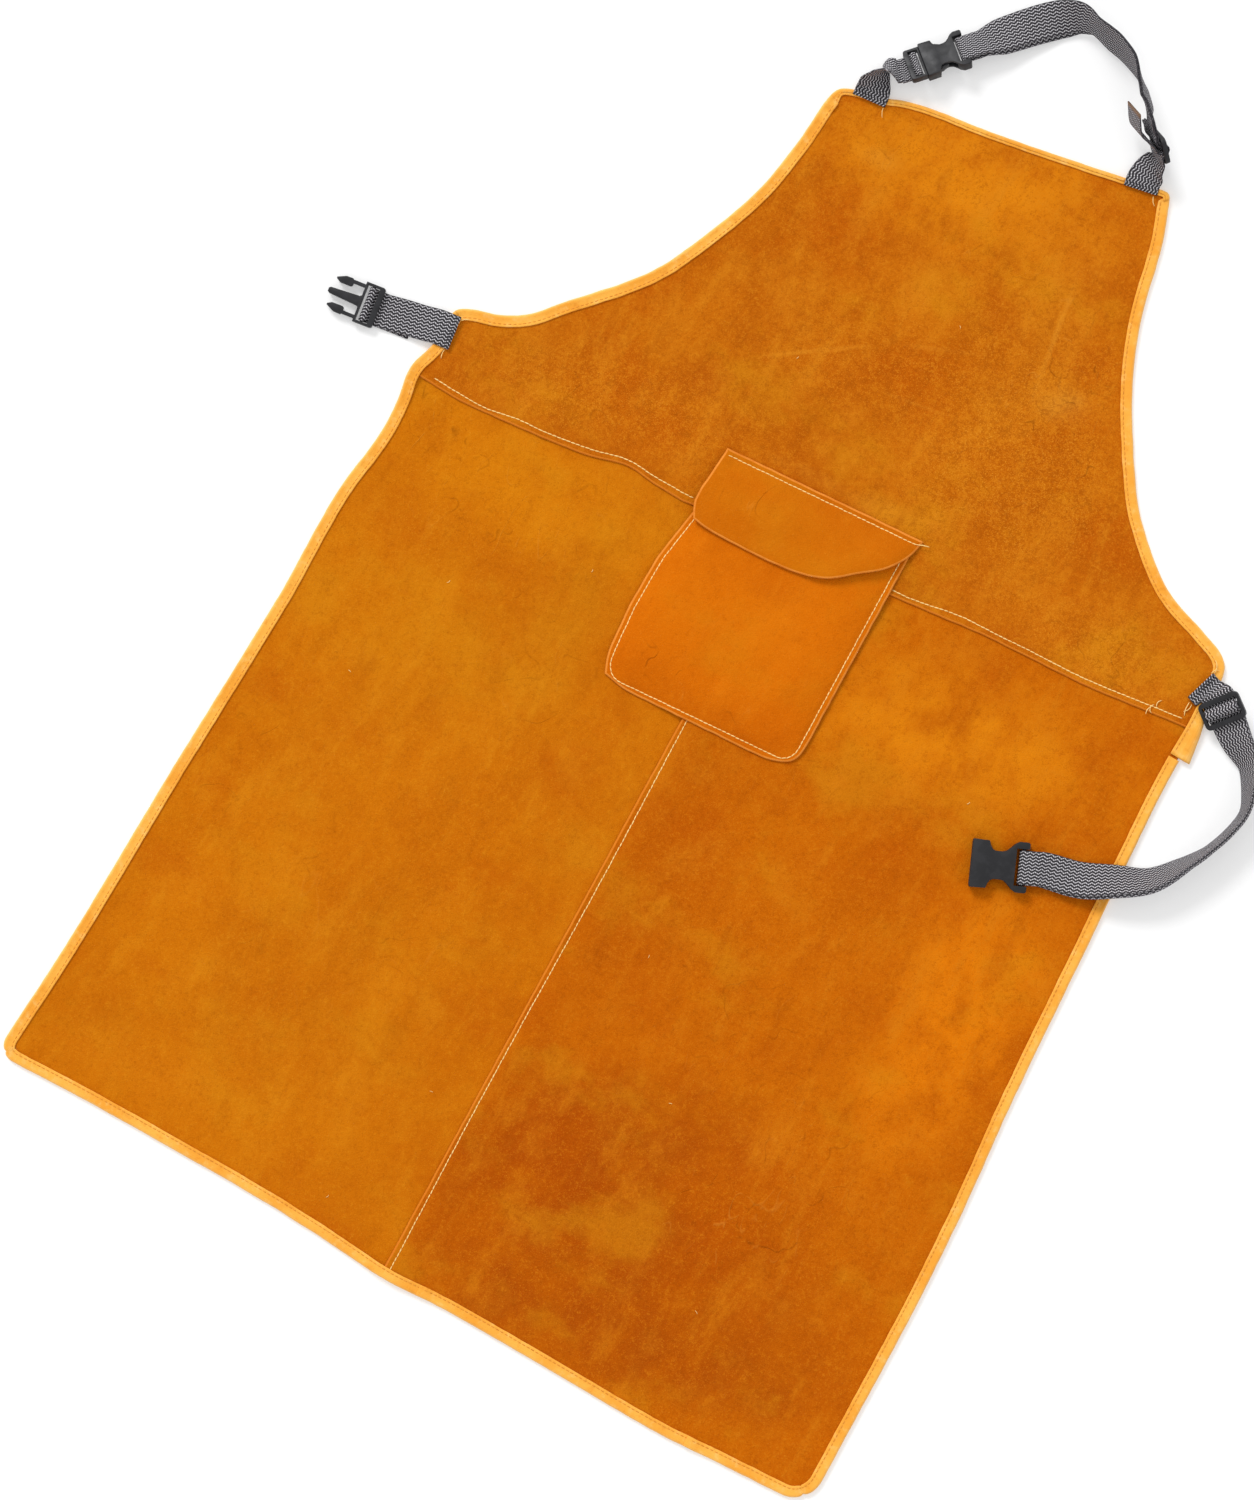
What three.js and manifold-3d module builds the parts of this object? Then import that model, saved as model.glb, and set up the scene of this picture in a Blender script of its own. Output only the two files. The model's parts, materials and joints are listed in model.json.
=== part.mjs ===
// A leather welding apron, lying flat on its back, in millimetres with +Z up.
// X runs across the apron, Y from the hem up to the bib. The origin is where the
// centre seam meets the waist seam, on the underside of the left skirt panel.
import * as THREE from 'three';
import { mergeVertices } from 'three/addons/utils/BufferGeometryUtils.js';
import Module from 'manifold-3d';

const wasm = await Module();
wasm.setup();

// Driving sizes of the leather
const SKIRT_LENGTH = 644;        // waist seam down to the hem, on the centre seam
const BIB_LENGTH = 356;          // waist seam up to the top edge, on the centre line
const HEM_WIDTH = 714;
const WAIST_WIDTH = 652;         // between the two waist corners
const BIB_TOP_WIDTH = 263;
const LEATHER = 1.8;
const POCKET_WIDTH = 169;
const POCKET_HEIGHT = 188;
const POCKET_ROOM = 4.6;         // free height inside the pocket, over the centre lap
const FLAP_WIDTH = 167;
const FLAP_DROP = 64;
const FLAP_CURL = 6;             // how far the loose corner of the flap lifts

// Driving sizes of the binding tape, the webbing and the seams
const TAPE = 1;
const TAPE_COVER = 9;            // how far the folded tape reaches over the leather
const TOP_COVER = 5.2;           // the same along the top of the bib, where it is sewn narrower
const WEB_WIDTH = 27;
const WEB = 1.3;
const SEAM_EDGE = 5;             // from the upper panel's cut edge to its stitches
const SEAM_LAP = 12;             // how far one panel lies over the other
const GAP = 0.3;                 // kept between pieces that lie on each other

// Driving sizes of the plastic buckles and sliders
const SLOT_CLEAR = 1.6;          // how much wider a full-width slot is than the webbing
const WAIST_SLOT = WEB_WIDTH + SLOT_CLEAR;
const NECK_SLOT = 22.6;          // clear width for the narrowed webbing in the neck buckle
const BUCKLE_THICK = 9;
const PLUG_THICK = 6;
const BAR = 2.4;                 // the round-edged bars that the webbing turns on
const SLIDER_LENGTH = 22;
const SLIDER_SLOT = WEB_WIDTH + SLOT_CLEAR;
const SLIDER_BAR = 4;
const SLIDER_THICK = 3.5;

// Heights that several pieces share
const TAPE_ROOM = 0.5;           // air between the leather's rim and the tape around it
const RIM_LIFT = TAPE + TAPE_ROOM;
const RIM_TOP = RIM_LIFT + LEATHER;
const BINDING_HIGH = RIM_TOP + GAP + TAPE;
const LAYER = LEATHER + GAP;
const RIM_FLAT = 12;             // strip along the rim that stays at the rim's height
const RIM_FADE = 60;             // where the leather is down on the surface again
const HIDDEN_EDGE = SEAM_LAP - SEAM_EDGE;
const LAP_CLEAR = 1.5;
const LAP_FADE = 24;
const HUG = WEB / 2 + GAP;       // a webbing's middle runs this far from what it touches
const PLY = WEB + GAP;           // from one ply of doubled webbing to the next

const vec = (x, y, z = 0) => new THREE.Vector3(x, y, z);
const mix = (a, b, share) => a + (b - a) * share;
const clamp01 = (value) => Math.min(1, Math.max(0, value));
const ease = (share) => clamp01(share) ** 2 * (3 - 2 * clamp01(share));
const radians = THREE.MathUtils.degToRad;

// MATERIALS

function leather(color) {
  return new THREE.MeshStandardMaterial({ color, roughness: 0.9, metalness: 0 });
}

const bibLeather = leather(0xc86e1c);
const leftLeather = leather(0xd27c14);
const rightLeather = leather(0xc76a0c);
const pocketLeather = leather(0xde7810);
const tapeCloth = new THREE.MeshStandardMaterial({ color: 0xffb244, roughness: 0.75, metalness: 0 });
const webCloth = new THREE.MeshStandardMaterial({ color: 0x7c7a80, roughness: 0.85, metalness: 0 });
const blackPlastic = new THREE.MeshStandardMaterial({ color: 0x2e2e31, roughness: 0.45, metalness: 0 });

const apron = new THREE.Group();

function addPiece(name, geometry, material) {
  const mesh = new THREE.Mesh(geometry, material);
  mesh.name = name;
  apron.add(mesh);
  return mesh;
}

// OUTLINE
// Each corner's place, as shares of the named widths and lengths.

const corners = {
  waistLeft: vec(-0.474 * WAIST_WIDTH, 0.105 * BIB_LENGTH),
  hemLeft: vec(-0.484 * HEM_WIDTH, -0.984 * SKIRT_LENGTH),
  hemRight: vec(0.517 * HEM_WIDTH, -0.998 * SKIRT_LENGTH),
  waistRight: vec(0.527 * WAIST_WIDTH, 0.222 * BIB_LENGTH),
  bibRight: vec(0.503 * BIB_TOP_WIDTH, 1.065 * BIB_LENGTH),
  bibLeft: vec(-0.496 * BIB_TOP_WIDTH, 0.923 * BIB_LENGTH),
};

// Each edge runs anticlockwise from corner to corner. A row gives a point on it: along and
// out are shares of the straight line between the corners, out being away from the apron.
const edgeTables = {
  leftSide: {
    from: 'waistLeft', to: 'hemLeft',
    rows: [
      { along: 0.049, out: 0.000 },
      { along: 0.083, out: 0.008 },
      { along: 0.125, out: 0.000 },
      { along: 0.173, out: -0.002 },
      { along: 0.235, out: 0.004 },
      { along: 0.300, out: 0.003 },
      { along: 0.379, out: -0.001 },
      { along: 0.614, out: -0.001 },
      { along: 0.850, out: -0.003 },
      { along: 0.970, out: 0.000 },
    ],
  },
  hem: {
    from: 'hemLeft', to: 'hemRight',
    rows: [
      { along: 0.030, out: -0.001 },
      { along: 0.124, out: -0.003 },
      { along: 0.318, out: -0.002 },
      { along: 0.401, out: 0.002 },
      { along: 0.484, out: 0.008 },
      { along: 0.560, out: 0.005 },
      { along: 0.705, out: 0.007 },
      { along: 0.815, out: 0.009 },
      { along: 0.898, out: 0.005 },
      { along: 0.960, out: 0.002 },
    ],
  },
  rightSide: {
    from: 'hemRight', to: 'waistRight',
    rows: [
      { along: 0.070, out: 0.003 },
      { along: 0.234, out: 0.008 },
      { along: 0.350, out: 0.008 },
      { along: 0.480, out: 0.003 },
      { along: 0.644, out: 0.001 },
      { along: 0.781, out: -0.001 },
      { along: 0.863, out: -0.001 },
      { along: 0.930, out: 0.003 },
      { along: 0.980, out: 0.003 },
    ],
  },
  rightArmhole: {
    from: 'waistRight', to: 'bibRight',
    rows: [
      { along: 0.028, out: -0.007 },
      { along: 0.076, out: -0.038 },
      { along: 0.172, out: -0.102 },
      { along: 0.308, out: -0.138 },
      { along: 0.394, out: -0.144 },
      { along: 0.604, out: -0.127 },
      { along: 0.752, out: -0.089 },
      { along: 0.893, out: -0.030 },
    ],
  },
  bibTop: {
    from: 'bibRight', to: 'bibLeft',
    rows: [
      { along: 0.128, out: 0.001 },
      { along: 0.350, out: 0.004 },
      { along: 0.576, out: 0.011 },
      { along: 0.724, out: 0.022 },
      { along: 0.800, out: 0.021 },
      { along: 0.860, out: 0.011 },
      { along: 0.950, out: 0.009 },
    ],
  },
  leftArmhole: {
    from: 'bibLeft', to: 'waistLeft',
    rows: [
      { along: 0.038, out: -0.010 },
      { along: 0.140, out: -0.060 },
      { along: 0.281, out: -0.112 },
      { along: 0.503, out: -0.147 },
      { along: 0.610, out: -0.144 },
      { along: 0.776, out: -0.110 },
      { along: 0.862, out: -0.093 },
      { along: 0.919, out: -0.062 },
      { along: 0.963, out: -0.021 },
    ],
  },
};

// A smooth curve through a table's rows, asked for by its share of the straight line.
function edgeCurve({ from, to, rows }) {
  const start = corners[from];
  const end = corners[to];
  const chord = end.clone().sub(start);
  const outward = vec(chord.y, -chord.x);
  const knots = [{ along: 0, out: 0 }, ...rows, { along: 1, out: 0 }];
  const slopes = knots.map((_, i) => {
    const before = knots[Math.max(0, i - 1)];
    const after = knots[Math.min(knots.length - 1, i + 1)];
    return (after.out - before.out) / (after.along - before.along);
  });
  return (along) => {
    let i = 0;
    while (i < knots.length - 2 && along > knots[i + 1].along) i += 1;
    const span = knots[i + 1].along - knots[i].along;
    const s = (along - knots[i].along) / span;
    const out = knots[i].out * (1 + 2 * s) * (1 - s) ** 2
      + knots[i + 1].out * s * s * (3 - 2 * s)
      + slopes[i] * span * s * (1 - s) ** 2
      - slopes[i + 1] * span * s * s * (1 - s);
    return start.clone().addScaledVector(chord, along).addScaledVector(outward, out);
  };
}

const edges = {};
for (const [name, table] of Object.entries(edgeTables)) {
  edges[name] = edgeCurve(table);
}

// The share at which a side edge reaches a height y.
function alongAtHeight(edge, y) {
  let low = 0;
  let high = 1;
  const rising = edge(1).y > edge(0).y;
  for (let i = 0; i < 40; i += 1) {
    const middle = (low + high) / 2;
    if ((edge(middle).y < y) === rising) low = middle;
    else high = middle;
  }
  return (low + high) / 2;
}

// 1 on a lap's plateau between two offsets, falling straight to 0 over the fade.
function plateau(value, low, high) {
  const away = Math.max(low - value, value - high, 0);
  return clamp01(1 - away / LAP_FADE);
}

// Evenly spaced numbers from first to last, both included.
function spread(first, last, count) {
  return Array.from({ length: count }, (_, i) => mix(first, last, i / (count - 1)));
}

// WAIST SEAM
// Shares of the waist width, measured from the centre seam.

const seamRows = [
  { across: -0.520, up: -0.022 },
  { across: -0.394, up: -0.028 },
  { across: -0.335, up: -0.020 },
  { across: -0.217, up: -0.009 },
  { across: -0.123, up: -0.002 },
  { across: 0.000, up: 0.000 },
  { across: 0.143, up: 0.013 },
  { across: 0.240, up: 0.025 },
  { across: 0.350, up: 0.028 },
  { across: 0.560, up: 0.045 },
];

function waistSeam(x) {
  const across = x / WAIST_WIDTH;
  let i = 0;
  while (i < seamRows.length - 2 && across > seamRows[i + 1].across) i += 1;
  const span = seamRows[i + 1].across - seamRows[i].across;
  const share = (across - seamRows[i].across) / span;
  return mix(seamRows[i].up, seamRows[i + 1].up, ease(share)) * WAIST_WIDTH;
}

// STATIONS ROUND THE OUTLINE
// Leather and binding use the same stations, so their facets stay side by side.

const sideSteps = 14;
const leftSeam = waistSeam(corners.waistLeft.x);
const rightSeam = waistSeam(corners.waistRight.x);
const lapHeights = {
  top: HIDDEN_EDGE + LAP_CLEAR + LAP_FADE,
  hidden: HIDDEN_EDGE + LAP_CLEAR,
  cut: -SEAM_EDGE,
  below: -SEAM_EDGE - LAP_CLEAR,
  foot: -SEAM_EDGE - LAP_CLEAR - LAP_FADE,
};

function lapAlongs(edge, seamHeight) {
  const alongs = {};
  for (const [name, offset] of Object.entries(lapHeights)) {
    alongs[name] = alongAtHeight(edge, seamHeight + offset);
  }
  return alongs;
}

const leftLap = lapAlongs(edges.leftSide, leftSeam);
const rightLap = lapAlongs(edges.rightSide, rightSeam);

function stations(edge, alongs, raised = () => 0) {
  return alongs.map((along) => ({ point: edge(along), raise: raised(along) }));
}

// 1 where the side binding crosses the waist lap, fading to 0 above and below it.
function lapRaise(lap) {
  const span = Math.abs(lap.top - lap.hidden);
  return (along) => {
    const low = Math.min(lap.hidden, lap.below);
    const high = Math.max(lap.hidden, lap.below);
    const away = Math.max(low - along, along - high, 0);
    return clamp01(1 - away / span);
  };
}

// Where the columns of facets cross the waist and the hem, on both sides of the centre lap.
const shelfStarts = [-SEAM_EDGE - LAP_CLEAR - LAP_FADE, -SEAM_EDGE - LAP_CLEAR];
const shelfEnds = [HIDDEN_EDGE + LAP_CLEAR, HIDDEN_EDGE + LAP_CLEAR + LAP_FADE];

const hemShare = (x) => (x - corners.hemLeft.x) / (corners.hemRight.x - corners.hemLeft.x);

function centreRaise(along) {
  const x = mix(corners.hemLeft.x, corners.hemRight.x, along);
  return plateau(x, shelfStarts[1], shelfEnds[0]);
}

const outline = {
  leftSide: stations(edges.leftSide, [
    0, leftLap.top, leftLap.hidden, leftLap.cut, leftLap.below, leftLap.foot,
    ...spread(leftLap.foot, 0.985, sideSteps).slice(1),
  ], lapRaise(leftLap)),
  hem: stations(edges.hem, [
    0, ...spread(0.02, hemShare(shelfStarts[0]), 11), hemShare(shelfStarts[1]),
    hemShare(shelfEnds[0]), ...spread(hemShare(shelfEnds[1]), 0.98, 12),
  ], centreRaise),
  rightSide: stations(edges.rightSide, [
    0.006, ...spread(0.03, rightLap.foot, sideSteps).slice(0, -1),
    rightLap.foot, rightLap.below, rightLap.cut, rightLap.hidden, rightLap.top,
  ], lapRaise(rightLap)),
  rightArmhole: stations(edges.rightArmhole, [
    0, 0.028, 0.076, 0.123, 0.172, 0.235, 0.308, 0.394, 0.5, 0.604, 0.68, 0.752, 0.82, 0.893, 0.96,
  ]),
  bibTop: stations(edges.bibTop, [
    0, 0.03, 0.128, 0.24, 0.35, 0.46, 0.576, 0.65, 0.724, 0.78, 0.83, 0.88, 0.97,
  ]),
  leftArmhole: stations(edges.leftArmhole, [
    0, 0.038, 0.09, 0.14, 0.21, 0.281, 0.39, 0.503, 0.61, 0.692, 0.776, 0.862, 0.919, 0.963,
  ]),
};

const loop = Object.values(outline).flat();

// The inward unit normal at each station, stretched so that both neighbours keep their offset.
loop.forEach((station, i) => {
  const before = loop[(i + loop.length - 1) % loop.length].point;
  const after = loop[(i + 1) % loop.length].point;
  const arriving = station.point.clone().sub(before).normalize();
  const leaving = after.clone().sub(station.point).normalize();
  const middle = arriving.clone().add(leaving).normalize();
  const stretch = 1 / Math.max(0.5, middle.dot(leaving));
  station.inward = vec(-middle.y, middle.x).multiplyScalar(stretch);
});

function inset(station, distance) {
  return station.point.clone().addScaledVector(station.inward, distance);
}

function distanceToOutline(x, y) {
  const spot = vec(x, y);
  const nearest = vec(0, 0);
  let least = Infinity;
  loop.forEach((station, i) => {
    const side = new THREE.Line3(station.point, loop[(i + 1) % loop.length].point);
    side.closestPointToPoint(spot, true, nearest);
    least = Math.min(least, nearest.distanceTo(spot));
  });
  return least;
}

// FOLDS
// Low soft waves in the lying leather. A row is one wave: its middle as shares of the hem
// width and the skirt length, its half length and half width as shares of the hem width,
// its height as a share of the leather's thickness, and its turn in degrees.

const folds = [
  { across: -0.300, up: -0.210, long: 0.150, wide: 0.070, high: 1.6, turn: 118 },
  { across: -0.230, up: -0.560, long: 0.210, wide: 0.090, high: 2.1, turn: 82 },
  { across: -0.340, up: -0.720, long: 0.120, wide: 0.060, high: 1.3, turn: 60 },
  { across: 0.180, up: -0.430, long: 0.160, wide: 0.080, high: 1.4, turn: 140 },
  { across: 0.300, up: -0.740, long: 0.180, wide: 0.080, high: 1.8, turn: 44 },
  { across: 0.120, up: -0.800, long: 0.150, wide: 0.070, high: 1.2, turn: 95 },
  { across: 0.060, up: 0.340, long: 0.160, wide: 0.070, high: 1.5, turn: 6 },
  { across: -0.180, up: 0.190, long: 0.110, wide: 0.060, high: 1.2, turn: 35 },
  { across: 0.200, up: 0.170, long: 0.120, wide: 0.060, high: 1.3, turn: 160 },
];

const swell = (share) => (Math.abs(share) < 1 ? Math.cos(share * Math.PI / 2) ** 2 : 0);

function foldHeight(x, y) {
  let height = 0;
  for (const fold of folds) {
    const turn = radians(fold.turn);
    const dx = x - fold.across * HEM_WIDTH;
    const dy = y - fold.up * SKIRT_LENGTH;
    const along = dx * Math.cos(turn) + dy * Math.sin(turn);
    const aside = -dx * Math.sin(turn) + dy * Math.cos(turn);
    const shape = swell(along / (fold.long * HEM_WIDTH)) * swell(aside / (fold.wide * HEM_WIDTH));
    height += fold.high * LEATHER * shape;
  }
  return height;
}

// HEIGHTS OF THE LEATHER PANELS, measured at the underside

function rimHeight(x, y) {
  const distance = distanceToOutline(x, y);
  return RIM_LIFT * (1 - ease((distance - RIM_FLAT) / (RIM_FADE - RIM_FLAT)));
}

const centreShelf = (x) => plateau(x, -SEAM_EDGE - LAP_CLEAR, HIDDEN_EDGE + LAP_CLEAR);
const waistShelf = (x, y) => plateau(y - waistSeam(x), -SEAM_EDGE - LAP_CLEAR, HIDDEN_EDGE + LAP_CLEAR);

// Folds stay away from the rim, the seams and everything sewn or resting on the leather.
const calmSpots = [
  { across: 0.010, up: -0.090, reach: 0.230 },
  { across: 0.380, up: -0.205, reach: 0.170 },
];

function calm(x, y) {
  let share = ease((distanceToOutline(x, y) - RIM_FLAT) / 70);
  share *= ease((Math.abs(x) - HIDDEN_EDGE - LAP_CLEAR - LAP_FADE) / 40);
  share *= ease((Math.abs(y - waistSeam(x)) - HIDDEN_EDGE - LAP_CLEAR - LAP_FADE) / 40);
  for (const spot of calmSpots) {
    const away = Math.hypot(x - spot.across * HEM_WIDTH, y - spot.up * SKIRT_LENGTH);
    share *= ease((away - spot.reach * HEM_WIDTH / 2) / (spot.reach * HEM_WIDTH / 2));
  }
  return share;
}

function bibCalm(x, y) {
  const share = ease((distanceToOutline(x, y) - RIM_FLAT) / 70);
  const aboveSeam = y - waistSeam(x) - POCKET_HEIGHT * 0.3;
  return share * ease(aboveSeam / 50);
}

const leftHeight = (x, y) => rimHeight(x, y) + foldHeight(x, y) * calm(x, y);
const rightHeight = (x, y) => leftHeight(x, y) + LAYER * centreShelf(x);
const bibHeight = (x, y) => rimHeight(x, y) + foldHeight(x, y) * bibCalm(x, y)
  + LAYER * waistShelf(x, y) * (1 + centreShelf(x));

// SHEETS
// A sheet is a grid of rows of points; its back lies straight below its face.

function gridBetween(bottom, top, left, right) {
  const columns = bottom.length;
  const rows = left.length;
  const lengthShares = (points) => {
    const lengths = [0];
    for (let i = 1; i < points.length; i += 1) {
      lengths.push(lengths[i - 1] + points[i].distanceTo(points[i - 1]));
    }
    return lengths.map((length) => length / lengths[lengths.length - 1]);
  };
  const shareOf = (a, b) => a.map((value, i) => (value + b[i]) / 2);
  const across = shareOf(lengthShares(bottom), lengthShares(top));
  const up = shareOf(lengthShares(left), lengthShares(right));
  const grid = [];
  for (let i = 0; i < rows; i += 1) {
    const row = [];
    for (let j = 0; j < columns; j += 1) {
      const u = across[j];
      const v = up[i];
      const point = bottom[j].clone().multiplyScalar(1 - v).addScaledVector(top[j], v);
      point.addScaledVector(left[i], 1 - u).addScaledVector(right[i], u);
      point.addScaledVector(bottom[0], -(1 - u) * (1 - v));
      point.addScaledVector(bottom[columns - 1], -u * (1 - v));
      point.addScaledVector(top[0], -(1 - u) * v);
      point.addScaledVector(top[columns - 1], -u * v);
      row.push(point);
    }
    grid.push(row);
  }
  return grid;
}

// A closed geometry between two grids of the same size: face above, back below.
function closedSheet(face, back) {
  const rows = face.length;
  const columns = face[0].length;
  const positions = [];
  const index = [];
  for (const grid of [face, back]) {
    for (const row of grid) {
      for (const point of row) positions.push(point.x, point.y, point.z);
    }
  }
  const top = (i, j) => i * columns + j;
  const under = (i, j) => rows * columns + i * columns + j;
  for (let i = 0; i < rows - 1; i += 1) {
    for (let j = 0; j < columns - 1; j += 1) {
      index.push(top(i, j), top(i, j + 1), top(i + 1, j + 1));
      index.push(top(i, j), top(i + 1, j + 1), top(i + 1, j));
      index.push(under(i, j), under(i + 1, j + 1), under(i, j + 1));
      index.push(under(i, j), under(i + 1, j), under(i + 1, j + 1));
    }
  }
  const wall = (i, j, k, l) => {
    index.push(top(i, j), under(i, j), under(k, l));
    index.push(top(i, j), under(k, l), top(k, l));
  };
  for (let j = 0; j < columns - 1; j += 1) {
    wall(0, j, 0, j + 1);
    wall(rows - 1, j + 1, rows - 1, j);
  }
  for (let i = 0; i < rows - 1; i += 1) {
    wall(i + 1, 0, i, 0);
    wall(i, columns - 1, i + 1, columns - 1);
  }
  const geometry = new THREE.BufferGeometry();
  geometry.setAttribute('position', new THREE.Float32BufferAttribute(positions, 3));
  geometry.setIndex(index);
  geometry.computeVertexNormals();
  return geometry;
}

function sheet(grid, height) {
  const back = grid.map((row) => row.map((point) => vec(point.x, point.y, height(point.x, point.y))));
  const face = back.map((row) => row.map((point) => vec(point.x, point.y, point.z + LEATHER)));
  return closedSheet(face, back);
}

const rimPoint = (station) => inset(station, RIM_LIFT + GAP / 3);
const rimPoints = (list) => list.map(rimPoint);

// LEATHER PANELS

// How many columns of facets lie between the centre lap and a side rim.
const panelSteps = 8;

function seamPoint(x, offset) {
  return vec(x, waistSeam(x) + offset);
}

function makeSkirtLeft() {
  const lap = outline.leftSide;
  const side = [...lap.slice(2)].reverse();
  const left = rimPoints(side);
  const rimTop = left[left.length - 1];
  const columns = [...spread(rimTop.x, shelfStarts[0], panelSteps), shelfStarts[1], HIDDEN_EDGE];
  const top = columns.map((x) => seamPoint(x, HIDDEN_EDGE));
  left[left.length - 1] = top[0];
  const hemStart = left[0].x;
  const hemXs = [...spread(hemStart, shelfStarts[0], panelSteps), shelfStarts[1], HIDDEN_EDGE];
  const bottom = hemXs.map((x, i) => (i === 0 ? left[0] : hemPoint(x)));
  const right = left.map((_, i) => {
    const share = i / (left.length - 1);
    return vec(HIDDEN_EDGE, mix(bottom[bottom.length - 1].y, top[top.length - 1].y, share));
  });
  addPiece('skirt_left', sheet(gridBetween(bottom, top, left, right), leftHeight), leftLeather);
}

// The leather's own rim along the hem, at a given x.
function hemPoint(x) {
  const line = rimPoints(outline.hem);
  let i = 0;
  while (i < line.length - 2 && x > line[i + 1].x) i += 1;
  const share = (x - line[i].x) / (line[i + 1].x - line[i].x);
  return vec(x, mix(line[i].y, line[i + 1].y, share));
}

function makeSkirtRight() {
  const side = outline.rightSide.slice(0, -1);
  const right = rimPoints(side);
  const rimTop = right[right.length - 1];
  const columns = [-SEAM_EDGE, shelfEnds[0], ...spread(shelfEnds[1], rimTop.x, panelSteps)];
  const top = columns.map((x) => seamPoint(x, HIDDEN_EDGE));
  right[right.length - 1] = top[top.length - 1];
  const hemXs = [-SEAM_EDGE, shelfEnds[0], ...spread(shelfEnds[1], right[0].x, panelSteps)];
  const last = hemXs.length - 1;
  const bottom = hemXs.map((x, i) => (i === last ? right[0] : hemPoint(x)));
  const left = right.map((_, i) => {
    const share = i / (right.length - 1);
    return vec(-SEAM_EDGE, mix(bottom[0].y, top[0].y, share));
  });
  addPiece('skirt_right', sheet(gridBetween(bottom, top, left, right), rightHeight), rightLeather);
}

function makeBib() {
  const cut = -SEAM_EDGE;
  const left = rimPoints([
    ...outline.leftSide.slice(0, 4).reverse(),
    ...[...outline.leftArmhole].reverse().slice(0, -1),
    outline.leftArmhole[0],
  ]);
  const right = rimPoints([
    ...outline.rightSide.slice(-3),
    ...outline.rightArmhole.slice(0, -1),
    outline.bibTop[0],
  ]);
  left[0] = seamPoint(left[0].x, cut);
  right[0] = seamPoint(right[0].x, cut);
  const columns = [
    ...spread(left[0].x, shelfStarts[0], panelSteps), shelfStarts[1],
    shelfEnds[0], ...spread(shelfEnds[1], right[0].x, panelSteps),
  ];
  const bottom = columns.map((x) => seamPoint(x, cut));
  const topLine = rimPoints([...outline.bibTop, outline.leftArmhole[0]]).reverse();
  const top = columns.map((x) => {
    const share = (x - left[0].x) / (right[0].x - left[0].x);
    const goal = mix(topLine[0].x, topLine[topLine.length - 1].x, share);
    let i = 0;
    while (i < topLine.length - 2 && goal > topLine[i + 1].x) i += 1;
    const inner = (goal - topLine[i].x) / (topLine[i + 1].x - topLine[i].x);
    return vec(goal, mix(topLine[i].y, topLine[i + 1].y, inner));
  });
  addPiece('bib', sheet(gridBetween(bottom, top, left, right), bibHeight), bibLeather);
}

makeSkirtLeft();
makeSkirtRight();
makeBib();

// BINDING
// Tape folded round the rim: a flat channel, open inwards, following the same stations.

// The closed section at a station: inward distance and height, anticlockwise from outside.
function channelSection(station, cover, flare) {
  const high = BINDING_HIGH + LAYER * station.raise;
  const round = TAPE * 0.8;
  return [
    [cover, 0], [round - flare, 0], [-flare, round], [-flare, high - round], [round - flare, high],
    [cover, high], [cover, high - TAPE], [TAPE - flare, high - TAPE], [TAPE - flare, TAPE], [cover, TAPE],
  ].map(([distance, z]) => {
    const point = inset(station, distance);
    point.z = z;
    return point;
  });
}

// A closed geometry swept through rings of points, with flat ends. Each four-sided facet is
// cut along one diagonal, or along the other where turned says so.
function closedSweep(rings, turned = () => false) {
  const size = rings[0].length;
  const positions = rings.flat().flatMap((point) => [point.x, point.y, point.z]);
  const index = [];
  for (let i = 0; i < rings.length - 1; i += 1) {
    for (let j = 0; j < size; j += 1) {
      const a = i * size + j;
      const b = i * size + (j + 1) % size;
      if (turned(i, j)) index.push(a, a + size, b, b, a + size, b + size);
      else index.push(a, b + size, b, a, a + size, b + size);
    }
  }
  return { positions, index, size };
}

function sweepGeometry(rings, capFaces, turned) {
  const { positions, index, size } = closedSweep(rings, turned);
  const last = (rings.length - 1) * size;
  for (const [a, b, c] of capFaces) {
    index.push(a, b, c);
    index.push(last + a, last + c, last + b);
  }
  const geometry = new THREE.BufferGeometry();
  geometry.setAttribute('position', new THREE.Float32BufferAttribute(positions, 3));
  geometry.setIndex(index);
  geometry.computeVertexNormals();
  return geometry;
}

// The ten-sided channel section, cut into triangles: lower leg, outer wall, upper leg.
const channelCaps = [
  [0, 1, 8], [0, 8, 9], [1, 2, 8], [2, 3, 8], [3, 7, 8], [3, 4, 7], [4, 5, 7], [5, 6, 7],
];

function makeBinding(name, list, options = {}) {
  const flares = options.flares ?? list.map(() => 0);
  const covers = options.covers ?? list.map(() => TAPE_COVER);
  const rings = list.map((station, i) => channelSection(station, covers[i], flares[i]));
  addPiece(name, sweepGeometry(rings, channelCaps), tapeCloth);
}

// A station part of the way from one to the next, so that two tapes can end side by side.
function between(a, b, share) {
  return {
    point: a.point.clone().lerp(b.point, share),
    inward: a.inward.clone().lerp(b.inward, share),
    raise: mix(a.raise, b.raise, share),
  };
}

// Splits the outline's stations where one tape ends and the next begins.
function tapeRun(list, startShare, endShare) {
  const run = [...list];
  run[0] = between(list[0], list[1], startShare);
  run[run.length - 1] = between(list[list.length - 2], list[list.length - 1], endShare);
  return run;
}

// Where the tapes join on the hem, as stations counted from its left corner.
const hemJoint = 14;
const hemSecondJoint = 22;
const jointGap = 0.02;

// The loose end of the armhole tape stands away from the rim below the waist corner.
const TAIL_FLARE = 8;

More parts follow.
